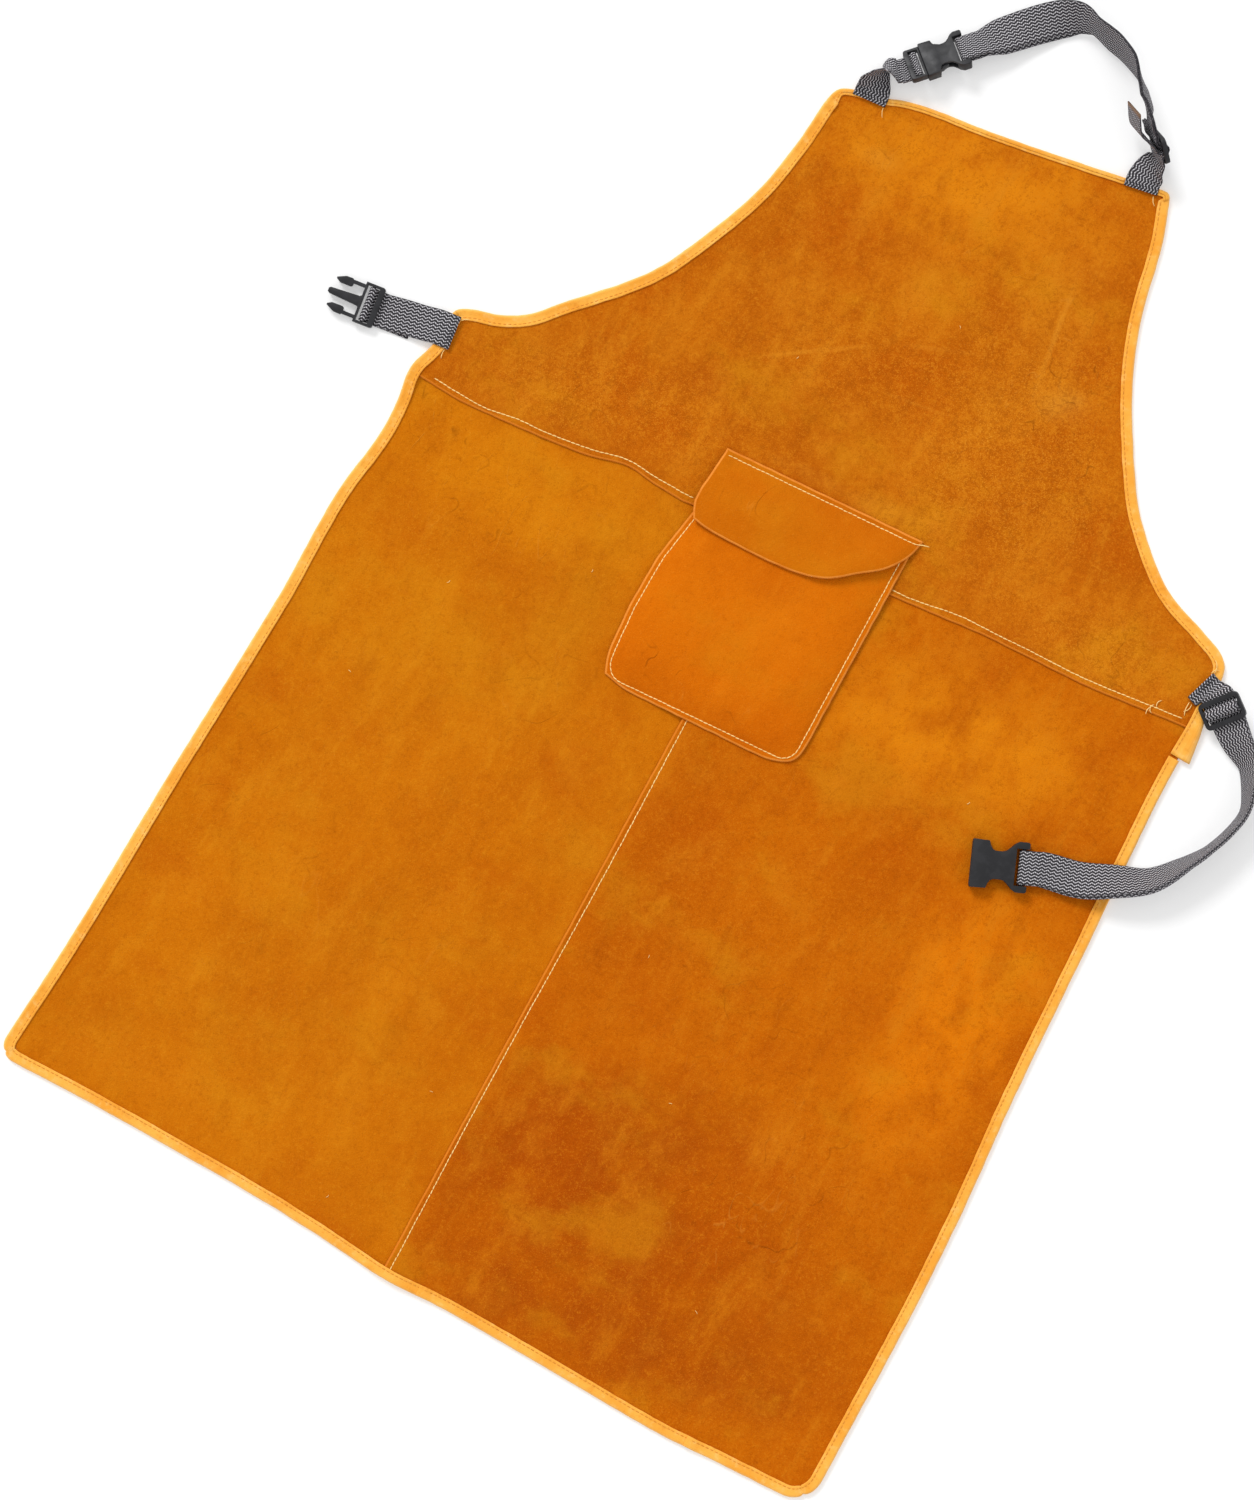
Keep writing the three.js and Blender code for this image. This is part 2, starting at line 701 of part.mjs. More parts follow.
function makeBindings() {
  const { leftSide, hem, rightSide, rightArmhole, bibTop, leftArmhole } = outline;
  makeBinding('binding_side_left', tapeRun(
    [...leftSide, ...hem.slice(0, hemJoint + 1)], jointGap, 1 - jointGap,
  ));
  makeBinding('binding_hem', tapeRun(hem.slice(hemJoint, hemSecondJoint + 1), jointGap, 1 - jointGap));
  const rightRun = [...hem.slice(hemSecondJoint), ...rightSide.slice(0, -5)];
  makeBinding('binding_side_right', tapeRun(rightRun, jointGap, 1));
  const foot = rightSide.length - 6;
  const tail = [between(rightSide[foot], rightSide[foot + 1], jointGap), ...rightSide.slice(foot + 1)];
  const armhole = [...tail, ...rightArmhole, bibTop[0]];
  const flares = armhole.map((_, i) => (i < 3 ? TAIL_FLARE * (1 - i / 3) : 0));
  makeBinding('binding_armhole_right', tapeRun(armhole, 0, 1 - 4 * jointGap), { flares });
  const topRun = [...bibTop, leftArmhole[0], leftArmhole[1]];
  const covers = topRun.map((_, i) => (i < bibTop.length ? TOP_COVER : TAPE_COVER));
  makeBinding('binding_top', tapeRun(topRun, 4 * jointGap, 1 - jointGap), { covers });
  makeBinding('binding_armhole_left', tapeRun([...leftArmhole.slice(1), leftSide[0]], jointGap, 1));
}

makeBindings();

// POCKET
// A patch sewn on round three sides, across the waist seam, and left open at the top.

const POCKET_ASIDE = 5;          // from the centre seam to the pocket's middle
const POCKET_TOP = 33;           // from the waist seam up to the middle of its mouth
const POCKET_ROUND = 17;         // radius of the lower corners
const POCKET_SLANT = 7;          // the right end of the mouth and of the hem is this much higher
const MOUTH_DIP = 9;
const SEWN_STRIP = 6;            // flat strip under the stitches
const POCKET_RISE = 16;          // from the sewn strip in to the full depth
const POCKET_EDGE = SEWN_STRIP + POCKET_RISE;

const pocketLeft = POCKET_ASIDE - POCKET_WIDTH / 2;
const pocketRight = POCKET_ASIDE + POCKET_WIDTH / 2;
const pocketFloor = (x) => POCKET_TOP - POCKET_HEIGHT
  + POCKET_SLANT * ((x - pocketLeft) / POCKET_WIDTH - 0.5);
const pocketRim = (x) => POCKET_TOP + POCKET_SLANT * ((x - pocketLeft) / POCKET_WIDTH - 0.5);

// The top of whatever lies under the pocket: skirts, the bib, or the bib over their lap.
function stackTop(x, y) {
  const aboveSeam = y - waistSeam(x) > HIDDEN_EDGE + LAP_CLEAR;
  const centre = centreShelf(x) * (aboveSeam ? waistShelf(x, y) : 1);
  return LEATHER + LAYER * (waistShelf(x, y) + centre);
}

function pocketHeight(x, y) {
  const inside = Math.min(x - pocketLeft, pocketRight - x, y - pocketFloor(x));
  const share = ease((inside - SEWN_STRIP) / POCKET_RISE);
  return mix(stackTop(x, y) + GAP, LEATHER + LAYER + POCKET_ROOM, share);
}

function cornerArc(centre, radius, start, end, count) {
  return spread(start, end, count).map((degrees) => vec(
    centre.x + radius * Math.cos(radians(degrees)),
    centre.y + radius * Math.sin(radians(degrees)),
  ));
}

function makePocket() {
  const r = POCKET_ROUND;
  const leftCentre = vec(pocketLeft + r, pocketFloor(pocketLeft) + r);
  const rightCentre = vec(pocketRight - r, pocketFloor(pocketRight) + r);
  const sideRows = (x) => {
    const seam = waistSeam(x);
    const low = seam + lapHeights.foot;
    return [
      ...spread(pocketFloor(x) + POCKET_EDGE, low, 6), seam + lapHeights.below,
      seam + lapHeights.hidden, pocketRim(x),
    ].map((y) => vec(x, y));
  };
  const left = [
    ...cornerArc(leftCentre, r, 225, 180, 3), ...sideRows(pocketLeft),
  ];
  const right = [
    ...cornerArc(rightCentre, r, -45, 0, 3), ...sideRows(pocketRight),
  ];
  const middles = [...shelfStarts, ...shelfEnds];
  const columns = [
    left[0].x, pocketLeft + POCKET_EDGE, ...middles, pocketRight - POCKET_EDGE, right[0].x,
  ];
  const bottom = columns.map((x, i) => {
    if (i === 0) return left[0];
    if (i === columns.length - 1) return right[0];
    return vec(x, pocketFloor(x));
  });
  const topXs = [
    pocketLeft, pocketLeft + POCKET_EDGE, ...middles, pocketRight - POCKET_EDGE, pocketRight,
  ];
  const top = topXs.map((x) => {
    const share = (x - pocketLeft) / POCKET_WIDTH;
    return vec(x, pocketRim(x) - MOUTH_DIP * ease(4 * Math.min(share, 1 - share)));
  });
  addPiece('pocket', sheet(gridBetween(bottom, top, left, right), pocketHeight), pocketLeather);
}

makePocket();

// POCKET FLAP
// Sewn along its top edge above the mouth. Columns: drop below the top left corner as a
// share of FLAP_DROP, and distance in from the left edge as a share of FLAP_WIDTH.

const FLAP_ASIDE = 10;           // from the centre seam to the flap's middle
const FLAP_TOP = 44;             // from the waist seam up to its top left corner
const FLAP_SEWN = 6;             // flat strip under its stitches
const FLAP_RISE = 13;            // from that strip down to where it is over the pocket
const FLAP_CLEAR = 0.8;

const flapLeftRows = [
  { drop: 0.95, in: 0.020 },
  { drop: 0.86, in: 0.006 },
  { drop: 0.62, in: 0.003 },
  { drop: 0.42, in: 0.002 },
  { drop: 0.26, in: 0.001 },
  { drop: 0.12, in: 0.000 },
  { drop: 0.00, in: 0.000 },
];

const flapRightRows = [
  { drop: 0.800, in: 0.710 },
  { drop: 0.620, in: 0.790 },
  { drop: 0.480, in: 0.865 },
  { drop: 0.360, in: 0.918 },
  { drop: 0.140, in: 0.975 },
  { drop: 0.010, in: 0.990 },
  { drop: -0.130, in: 1.000 },
];

const flapLowerRows = [
  { drop: 0.95, in: 0.020 },
  { drop: 0.985, in: 0.080 },
  { drop: 0.990, in: 0.160 },
  { drop: 0.985, in: 0.280 },
  { drop: 0.975, in: 0.400 },
  { drop: 0.950, in: 0.520 },
  { drop: 0.900, in: 0.620 },
  { drop: 0.800, in: 0.710 },
];

const flapLeft = FLAP_ASIDE - FLAP_WIDTH / 2;
const flapPoint = (row) => vec(flapLeft + row.in * FLAP_WIDTH, FLAP_TOP - row.drop * FLAP_DROP);
const flapTopAt = (x) => FLAP_TOP - flapRightRows[6].drop * FLAP_DROP * (x - flapLeft) / FLAP_WIDTH;

function flapHeight(x, y) {
  const over = ease((flapTopAt(x) - FLAP_SEWN - y) / FLAP_RISE);
  const sewn = stackTop(x, y) + GAP;
  const pocketFace = LEATHER + LAYER + POCKET_ROOM + LEATHER + GAP + FLAP_CLEAR;
  const sideFace = LEATHER + LAYER + LEATHER + GAP + FLAP_CLEAR;
  const full = mix(sideFace, pocketFace, mix(0.6, 1, ease((x - flapLeft) / POCKET_RISE)));
  const curl = FLAP_CURL * ease((x - flapLeft) / FLAP_WIDTH * 2 - 0.9);
  const drop = ease((flapTopAt(x) - y) / FLAP_DROP * 2 - 0.4);
  return mix(sewn, full, over) + curl * drop;
}

function makeFlap() {
  const left = flapLeftRows.map(flapPoint);
  const right = flapRightRows.map(flapPoint);
  const bottom = flapLowerRows.map(flapPoint);
  const top = spread(0, 1, bottom.length).map((share) => left[6].clone().lerp(right[6], share));
  addPiece('pocket_flap', sheet(gridBetween(bottom, top, left, right), flapHeight), pocketLeather);
}

makeFlap();

// PLACED FRAMES
// A frame's x runs along the webbing, y across it to the left, z out of its face.
// Heading turns it in plan, pitch lifts its x, roll lifts its left edge.

function frameAt(origin, headingDegrees, pitchDegrees, rollDegrees) {
  const heading = radians(headingDegrees);
  const pitch = radians(pitchDegrees);
  const along = vec(
    Math.cos(heading) * Math.cos(pitch), Math.sin(heading) * Math.cos(pitch), Math.sin(pitch),
  );
  const across = rolledAcross(along, rollDegrees);
  const face = along.clone().cross(across);
  return new THREE.Matrix4().makeBasis(along, across, face).setPosition(origin);
}

function rolledAcross(along, rollDegrees) {
  const lateral = vec(-along.y, along.x).normalize();
  const up = along.clone().cross(lateral);
  const roll = radians(rollDegrees);
  return lateral.multiplyScalar(Math.cos(roll)).addScaledVector(up, Math.sin(roll));
}

const axisOf = (frame, column) => new THREE.Vector3().setFromMatrixColumn(frame, column);
const placed = (frame, x, z, y = 0) => vec(x, y, z).applyMatrix4(frame);

// RIBBONS OF WEBBING
// A station has its middle point, the direction across to the left, and a width. A held
// station keeps its direction across; elsewhere it is squared up to the webbing's travel.

function ribbonRings(list) {
  return list.map((station, i) => {
    const before = list[Math.max(0, i - 1)].point;
    const after = list[Math.min(list.length - 1, i + 1)].point;
    const arriving = station.point.clone().sub(before).normalize();
    const leaving = after.clone().sub(station.point).normalize();
    const travel = arriving.clone().add(leaving).normalize();
    const across = station.across.clone();
    if (!station.held) across.addScaledVector(travel, -across.dot(travel)).normalize();
    const face = travel.clone().cross(across).normalize();
    const ends = i === 0 || i === list.length - 1;
    const stretch = ends ? 1 : 1 / Math.max(0.75, travel.dot(leaving));
    const half = station.width / 2;
    const thick = WEB / 2 * stretch;
    return [[half, -thick], [-half, -thick], [-half, thick], [half, thick]].map(([aside, up]) => (
      station.point.clone().addScaledVector(across, aside).addScaledVector(face, up)
    ));
  });
}

// Both faces of a ply, and both plies of a doubled strap, are cut along the same diagonal,
// so that they stay parallel where the webbing twists.
function makeRibbon(name, list) {
  const turned = (i, side) => (side === 2) !== Boolean(list[i].comesBack);
  const rings = ribbonRings(list);
  addPiece(name, sweepGeometry(rings, [[0, 1, 2], [0, 2, 3]], turned), webCloth);
}

// Stations of a path drawn in a frame's x and z; side 1 has the frame's y across, -1 turns it.
function localPath(frame, points, side, width = WEB_WIDTH) {
  const across = axisOf(frame, 1).multiplyScalar(side);
  return points.map(([x, z, y = 0]) => ({
    point: placed(frame, x, z, y), across: across.clone(), width, held: true,
  }));
}

function arc(radius, start, end, count) {
  return spread(start, end, count).map((degrees) => [
    radius * Math.cos(radians(degrees)), radius * Math.sin(radians(degrees)),
  ]);
}

// A free stretch between two ends. Rows: along and aside as shares of the straight line
// between the ends in plan, aside to the left; high as a share of the webbing's width; roll
// in degrees, left edge up.
function freeStretch(start, end, rows, count) {
  const chord = vec(end.point.x - start.point.x, end.point.y - start.point.y);
  const aside = vec(-chord.y, chord.x);
  const middle = rows.map((row) => {
    const point = vec(start.point.x, start.point.y).addScaledVector(chord, row.along);
    point.addScaledVector(aside, row.aside);
    point.z = row.high * WEB_WIDTH;
    return point;
  });
  const knots = [start.point, ...middle, end.point];
  const rolls = [start.roll, ...rows.map((row) => row.roll), end.roll];
  const widths = [start.width, ...rows.map(() => WEB_WIDTH), end.width];
  if (start.lead) {
    knots.splice(1, 0, start.point.clone().add(start.lead));
    rolls.unshift(start.roll);
    widths.unshift(start.width);
  }
  if (end.lead) {
    knots.splice(-1, 0, end.point.clone().add(end.lead));
    rolls.push(end.roll);
    widths.push(end.width);
  }
  const curve = new THREE.CatmullRomCurve3(knots, false, 'centripetal');
  return spread(0, 1, count).map((share) => {
    const place = share * (knots.length - 1);
    const i = Math.min(knots.length - 2, Math.floor(place));
    const along = curve.getTangent(share);
    return {
      point: curve.getPoint(share),
      along,
      across: rolledAcross(along, mix(rolls[i], rolls[i + 1], place - i)),
      width: mix(widths[i], widths[i + 1], place - i),
    };
  });
}

// One ply of a doubled stretch, beside its middle line; apart gives half the plies' spacing
// and shift moves the ply across in its own plane, most of all past the middle.
function plyOf(stretch, side, apart, shift = 0) {
  return stretch.map((station, i) => {
    const share = i / (stretch.length - 1);
    const face = station.along.clone().cross(station.across);
    const point = station.point.clone().addScaledVector(face, side * apart(share));
    point.addScaledVector(station.across, shift * Math.sin(share ** 2 * Math.PI));
    return { point, across: station.across.clone(), width: station.width };
  });
}

// PLASTIC HARDWARE
// Cut from extruded plates with boxes.

function toSolid(geometry) {
  const plain = geometry.clone();
  plain.deleteAttribute('normal');
  plain.deleteAttribute('uv');
  const merged = mergeVertices(plain, 1e-4);
  return new wasm.Manifold(new wasm.Mesh({
    numProp: 3,
    vertProperties: new Float32Array(merged.attributes.position.array),
    triVerts: new Uint32Array(merged.index.array),
  }));
}

function toGeometry(solid) {
  const mesh = solid.getMesh();
  const geometry = new THREE.BufferGeometry();
  geometry.setAttribute('position', new THREE.BufferAttribute(mesh.vertProperties, 3));
  geometry.setIndex(new THREE.BufferAttribute(mesh.triVerts, 1));
  geometry.computeVertexNormals();
  return geometry;
}

function boxSolid(x0, x1, y0, y1, z0, z1) {
  const box = new THREE.BoxGeometry(x1 - x0, y1 - y0, z1 - z0);
  box.translate((x0 + x1) / 2, (y0 + y1) / 2, (z0 + z1) / 2);
  return toSolid(box);
}

// A round bar across the slot, at the frame's origin.
function barSolid(radius, slot) {
  const bar = new THREE.CylinderGeometry(radius, radius, slot + 1, 12);
  return toSolid(bar);
}

// A plate of the given outline, centred on z = 0, its outline mirrored in y.
function mirroredPlate(halfOutline, thickness) {
  const shape = new THREE.Shape();
  const mirrored = [...halfOutline].reverse().map(([x, y]) => [x, -y]);
  [...halfOutline, ...mirrored].forEach(([x, y], i) => {
    if (i === 0) shape.moveTo(x, y);
    else shape.lineTo(x, y);
  });
  shape.closePath();
  const plate = new THREE.ExtrudeGeometry(shape, { depth: thickness, bevelEnabled: false });
  plate.translate(0, 0, -thickness / 2);
  return toSolid(plate);
}

const subtractAll = (solid, cutters) => cutters.reduce((left, cutter) => left.subtract(cutter), solid);

// The plug: an outer bar over the webbing, a round bar inside it, a shoulder, a guide
// tongue and two springy arms. Its origin is the middle of the round bar.
const PLUG_OUTER_BAR = [-9.2, -4.9];   // from and to, along the plug
const PLUG_WINDOW_END = 4.9;
const PLUG_SHOULDER_END = 6.6;
const PLUG_ARM_END = 29.6;
const PLUG_TONGUE_END = 32.5;
const PLUG_SIDE = 1.9;                 // width of the frame beside the window
const PLUG_OUTER_RISE = 0.6;           // the outer bar's underside lies this far below the middle

function plugGeometry(slot) {
  const scale = slot / WAIST_SLOT;
  const half = slot / 2 + PLUG_SIDE;
  const [outerStart, outerEnd] = PLUG_OUTER_BAR.map((x) => x * scale);
  const windowEnd = PLUG_WINDOW_END * scale;
  const shoulderEnd = PLUG_SHOULDER_END * scale;
  const round = PLUG_SIDE;
  let solid = mirroredPlate([
    [outerStart, half - round], [outerStart + round * 0.3, half - round * 0.3],
    [outerStart + round, half], [shoulderEnd, half],
  ].reverse(), PLUG_THICK);
  const high = PLUG_THICK;
  const inner = slot / 2;
  solid = subtractAll(solid, [
    boxSolid(-3 * high, outerEnd + GAP, -inner, inner, -high, -PLUG_OUTER_RISE),
    boxSolid(outerEnd, windowEnd, -inner, inner, -high, high),
  ]).add(barSolid(BAR / 2, slot));
  const prongThick = PLUG_THICK * 0.72;
  const root = shoulderEnd - 0.5;
  const arm = new THREE.Shape();
  const armPoints = [
    [root, 11.2], [16, 11.2], [16.4, 8.8], [17.6, 8.2], [PLUG_ARM_END - 3.6, 8.3],
    [PLUG_ARM_END - 0.2, 10.2], [PLUG_ARM_END, 11.4], [23, 14.5], [17.6, 14.7], [16.6, 13.9], [root, 13.9],
  ].map(([x, y]) => [x === root ? x : x * scale, y * scale]);
  armPoints.forEach(([x, y], i) => (i === 0 ? arm.moveTo(x, y) : arm.lineTo(x, y)));
  arm.closePath();
  const armPlate = new THREE.ExtrudeGeometry(arm, { depth: prongThick, bevelEnabled: false });
  armPlate.translate(0, 0, -prongThick / 2);
  const upperArm = toSolid(armPlate);
  const lowerArm = upperArm.mirror([0, 1, 0]);
  const tongue = mirroredPlate([
    [root, 5.2], [root + 2 * scale, 3.9], [PLUG_TONGUE_END - 1.5, 2.4], [PLUG_TONGUE_END, 1.4],
  ].map(([x, y]) => [x === root || x === root + 2 * scale ? x : x * scale, y * scale]).reverse(),
  prongThick * 0.8);
  return toGeometry(solid.add(upperArm).add(lowerArm).add(tongue));
}

// The socket: a flat case, open at its mouth and at both waisted sides, with a bar for the
// webbing between two lobes. Its origin is the middle of that bar.
const SOCKET_MOUTH = 40;
const SOCKET_WALL = 2.2;
const SOCKET_CASE_START = 9;
const SOCKET_SLOT_END = 6;
const SOCKET_LOBE = 4;
const SOCKET_WAIST = 10.8;
const SOCKET_BAR = 2.6;
const CHAMBER_HIGH = 5.4;

const socketHalfOutline = [
  [-SOCKET_LOBE, 18.4], [-SOCKET_LOBE + 1.2, 19.5], [4, 19.5], [7.5, 17.4], [10.5, 14],
  [13.4, 11.6], [16.5, SOCKET_WAIST], [22, SOCKET_WAIST], [24.6, 12], [26.4, 15], [27.4, 18.3],
  [SOCKET_MOUTH - 0.8, 18.6], [SOCKET_MOUTH, 17.8],
];

function socketGeometry(slot) {
  const scale = slot / WAIST_SLOT;
  const size = (value) => value * scale;
  const half = slot / 2;
  const outline2d = socketHalfOutline.map(([x, y]) => [size(x), size(y)]).reverse();
  const chamberHalf = size(18.6) - SOCKET_WALL;
  const far = BUCKLE_THICK;
  const solid = subtractAll(mirroredPlate(outline2d, BUCKLE_THICK), [
    boxSolid(size(SOCKET_CASE_START), size(SOCKET_MOUTH) + 1, -chamberHalf, chamberHalf,
      -CHAMBER_HIGH / 2, CHAMBER_HIGH / 2),
    boxSolid(-size(SOCKET_LOBE) - 1, size(SOCKET_SLOT_END), -half, half, -far, far),
  ]).add(barSolid(SOCKET_BAR / 2, slot));
  return toGeometry(solid);
}

// The slider: a rounded frame with a bar across its middle. Its origin is that bar's middle.
const SLIDER_ROUND = 4;
const SLIDER_SIDE = 2.6;

function sliderGeometry() {
  const half = SLIDER_SLOT / 2 + SLIDER_SIDE;
  const end = SLIDER_LENGTH / 2;
  const r = SLIDER_ROUND;
  const corner = (cx, cy, start, stop) => cornerArc(vec(cx, cy), r, start, stop, 4)
    .map((point) => [point.x, point.y]);
  const plate = mirroredPlate([
    ...corner(end - r, half - r, 0, 90), ...corner(-end + r, half - r, 90, 180),
  ], SLIDER_THICK);
  const inner = SLIDER_SLOT / 2;
  const windowEnd = end - SLIDER_BAR;
  const cut = boxSolid(-windowEnd, windowEnd, -inner, inner, -end, end);
  return toGeometry(plate.subtract(cut).add(barSolid(BAR / 2, SLIDER_SLOT)));
}

function addHardware(name, geometry, frame) {
  const mesh = addPiece(name, geometry, blackPlastic);
  mesh.applyMatrix4(frame);
}

// ROUTES OF THE WEBBING THROUGH THE HARDWARE, as [x, z] in the hardware's own frame

const innerTurn = BAR / 2 + HUG;        // first ply round a bar
const outerTurn = innerTurn + PLY;      // second ply over the first
const sliderUnder = -SLIDER_THICK / 2 - HUG;
const sliderReach = 13;

const sliderLoad = [
  [-sliderReach, sliderUnder], [-6.7, sliderUnder], ...arc(outerTurn, 165, 15, 6),
  [6.7, sliderUnder], [sliderReach, sliderUnder],
];
const TAIL_REACH = 22;
const sliderReturn = [
  [sliderReach, sliderUnder - PLY], [6.1, sliderUnder - PLY], ...arc(innerTurn, -20, 200, 7),
  [-2.35, sliderUnder], [-1.6, sliderUnder - 1.35 * PLY], [0.5, sliderUnder - 2 * PLY],
];

const plugTop = -PLUG_OUTER_RISE - HUG;
const plugReach = 14;

function plugRoute(scale, returnReach) {
  const barEnd = PLUG_OUTER_BAR[1] * scale;
  return [
    [-plugReach, plugTop], [barEnd + 0.4, plugTop], ...arc(innerTurn, 160, -100, 8),
    [barEnd, plugTop - PLY], [-returnReach, plugTop - PLY],
  ];
}

const socketTurn = SOCKET_BAR / 2 + HUG + 0.5;
const socketReach = 8;

// In round the bar and out again; side 1 comes in over the bar, -1 under it.
function socketRoute(side) {
  return [
    [-socketReach, side * socketTurn], [0, side * socketTurn],
    ...arc(socketTurn, 60 * side, -60 * side, 5),
    [0, -side * socketTurn], [-socketReach, -side * socketTurn],
  ];
}

// SEWN ENDS

// The height of a webbing's middle where it is sewn over the leather, or over the tape too.
function sewnHigh(spots, onTape) {
  const leatherTop = Math.max(...spots.map(([x, y]) => bibHeight(x, y))) + LEATHER;
  return leatherTop + HUG + (onTape ? GAP + TAPE : 0);
}

// Stations from a sewn end out to the rim; reach is how far in from the rim it starts.
function sewnEnd(edgePoint, headingDegrees, reach, cover, past) {
  const heading = radians(headingDegrees);
  const out = vec(Math.cos(heading), Math.sin(heading));
  const across = vec(-out.y, out.x);
  const half = WEB_WIDTH / 2;
  const spots = [-half, 0, half].flatMap((aside) => [-reach, -cover, 0].map((along) => {
    const spot = edgePoint.clone().addScaledVector(out, along).addScaledVector(across, aside);
    return [spot.x, spot.y];
  }));
  const high = sewnHigh(spots, true);
  return [-reach, past].map((along) => {
    const point = edgePoint.clone().addScaledVector(out, along);
    point.z = high;
    return { point, across: across.clone(), width: WEB_WIDTH, roll: 0, held: true };
  });
}

// WAIST STRAP, LEFT: a short tab with the plug

const surfaceGap = 0.1;

function makeWaistLeft() {
  const plugHigh = surfaceGap + WEB / 2 - (plugTop - PLY);
  const plugSpot = vec(corners.waistLeft.x - 0.0922 * WAIST_WIDTH, 0.0247 * BIB_LENGTH, plugHigh);
  const frame = frameAt(plugSpot, 187, 0, 0);
  addHardware('waist_plug', plugGeometry(WAIST_SLOT), frame);
  const end = sewnEnd(edges.leftSide(0.026), 186, TAPE_COVER + 1, TAPE_COVER, 4);
  const route = localPath(frame, plugRoute(1, WEB_WIDTH * 1.4), 1);
  const rows = [
    { along: 0.30, aside: 0.004, high: 0.155, roll: 0 },
    { along: 0.62, aside: -0.004, high: 0.095, roll: 0 },
  ];
  const stretch = freeStretch(end[1], { ...route[0], roll: 0 }, rows, 6).slice(1, -1);
  makeRibbon('waist_tab_left', [...end, ...stretch, ...route]);
}

makeWaistLeft();

// DOUBLED STRAPS: from the sewn end through the slider, round the socket's bar and back

function doubledStrap(name, parts) {
  const { end, sliderFrame, socketFrame, rows, rolls, count, side, slot, peek, lead, tail } = parts;
  const width = Math.min(WEB_WIDTH, slot - 2);
  const load = localPath(sliderFrame, sliderLoad, side);
  const back = localPath(sliderFrame, sliderReturn, side);
  const from = {
    point: placed(sliderFrame, sliderReach, sliderUnder - PLY / 2),
    roll: rolls[0],
    width: WEB_WIDTH,
    lead: axisOf(sliderFrame, 0).multiplyScalar(lead),
  };
  const to = {
    point: placed(socketFrame, -socketReach, 0),
    roll: rolls[1],
    width,
    lead: axisOf(socketFrame, 0).multiplyScalar(-8),
  };
  const stretch = freeStretch(from, to, rows, count).slice(1, -1);
  const apart = (share) => mix(PLY / 2, socketTurn, ease((share - 0.9) / 0.1));
  const goingOut = plyOf(stretch, side, apart, -peek / 2);
  const comingBack = plyOf(stretch, -side, apart, peek / 2).reverse();
  for (const station of comingBack) station.comesBack = true;
  makeRibbon(name, [
    ...end, ...load, ...goingOut, ...localPath(socketFrame, socketRoute(side), 1, width),
    ...comingBack, ...back, ...tail,
  ]);
}

// WAIST STRAP, RIGHT

const waistRows = [
  { along: 0.016, aside: 0.074, high: 0.450, roll: 38 },
  { along: 0.022, aside: 0.136, high: 0.490, roll: 50 },
  { along: 0.040, aside: 0.186, high: 0.530, roll: 66 },
  { along: 0.094, aside: 0.256, high: 0.550, roll: 78 },
  { along: 0.162, aside: 0.321, high: 0.553, roll: 86 },
  { along: 0.253, aside: 0.349, high: 0.553, roll: 86 },
  { along: 0.373, aside: 0.360, high: 0.553, roll: 85 },
  { along: 0.477, aside: 0.351, high: 0.550, roll: 76 },
  { along: 0.635, aside: 0.323, high: 0.500, roll: 55 },
  { along: 0.756, aside: 0.242, high: 0.510, roll: 33 },
  { along: 0.874, aside: 0.149, high: 0.300, roll: 12 },
];

function makeWaistRight() {
  const corner = corners.waistRight;
  const sliderSpot = vec(corner.x + 0.019 * WAIST_WIDTH, corner.y - 0.090 * BIB_LENGTH, 0.57 * WEB_WIDTH);
  const sliderFrame = frameAt(sliderSpot, -38, 0, 24);
  const socketHigh = LEATHER + GAP + BUCKLE_THICK / 2;
  const socketSpot = vec(corner.x - 0.098 * WAIST_WIDTH, -0.2042 * SKIRT_LENGTH, socketHigh);
  const socketFrame = frameAt(socketSpot, 202.5, 0, 0);
  addHardware('waist_slider', sliderGeometry(), sliderFrame);
  addHardware('waist_socket', socketGeometry(WAIST_SLOT), socketFrame);
  const edgePoint = edges.rightSide(alongAtHeight(edges.rightSide, corner.y - 0.075 * BIB_LENGTH));
  const end = sewnEnd(edgePoint, -18, TAPE_COVER + 6, TAPE_COVER, -6);
  const back = localPath(sliderFrame, [[sliderReach, sliderUnder - 2 * PLY]], 1);
  doubledStrap('waist_strap_right', {
    end,
    sliderFrame,
    socketFrame,
    rows: waistRows,
    rolls: [24, 0],
    count: 54,
    side: 1,
    slot: WAIST_SLOT,
    peek: 2.2,
    lead: 3,
    tail: back,
  });
}

makeWaistRight();

// NECK STRAP

const neckRows = [
  { along: 0.084, aside: -0.126, high: 0.98, roll: -112 },
  { along: 0.146, aside: -0.208, high: 0.78, roll: -104 },
  { along: 0.240, aside: -0.290, high: 0.61, roll: -80 },
  { along: 0.363, aside: -0.340, high: 0.55, roll: -68 },
  { along: 0.475, aside: -0.368, high: 0.56, roll: -74 },
  { along: 0.572, aside: -0.376, high: 0.44, roll: -45 },
  { along: 0.642, aside: -0.342, high: 0.27, roll: -20 },
  { along: 0.744, aside: -0.260, high: 0.20, roll: 0 },
  { along: 0.891, aside: -0.113, high: 0.30, roll: 12 },
];

const NECK_BUCKLE_HIGH = 11;
const NECK_BUCKLE_ROLL = 22;
const NECK_BUCKLE_HEADING = 226.5;

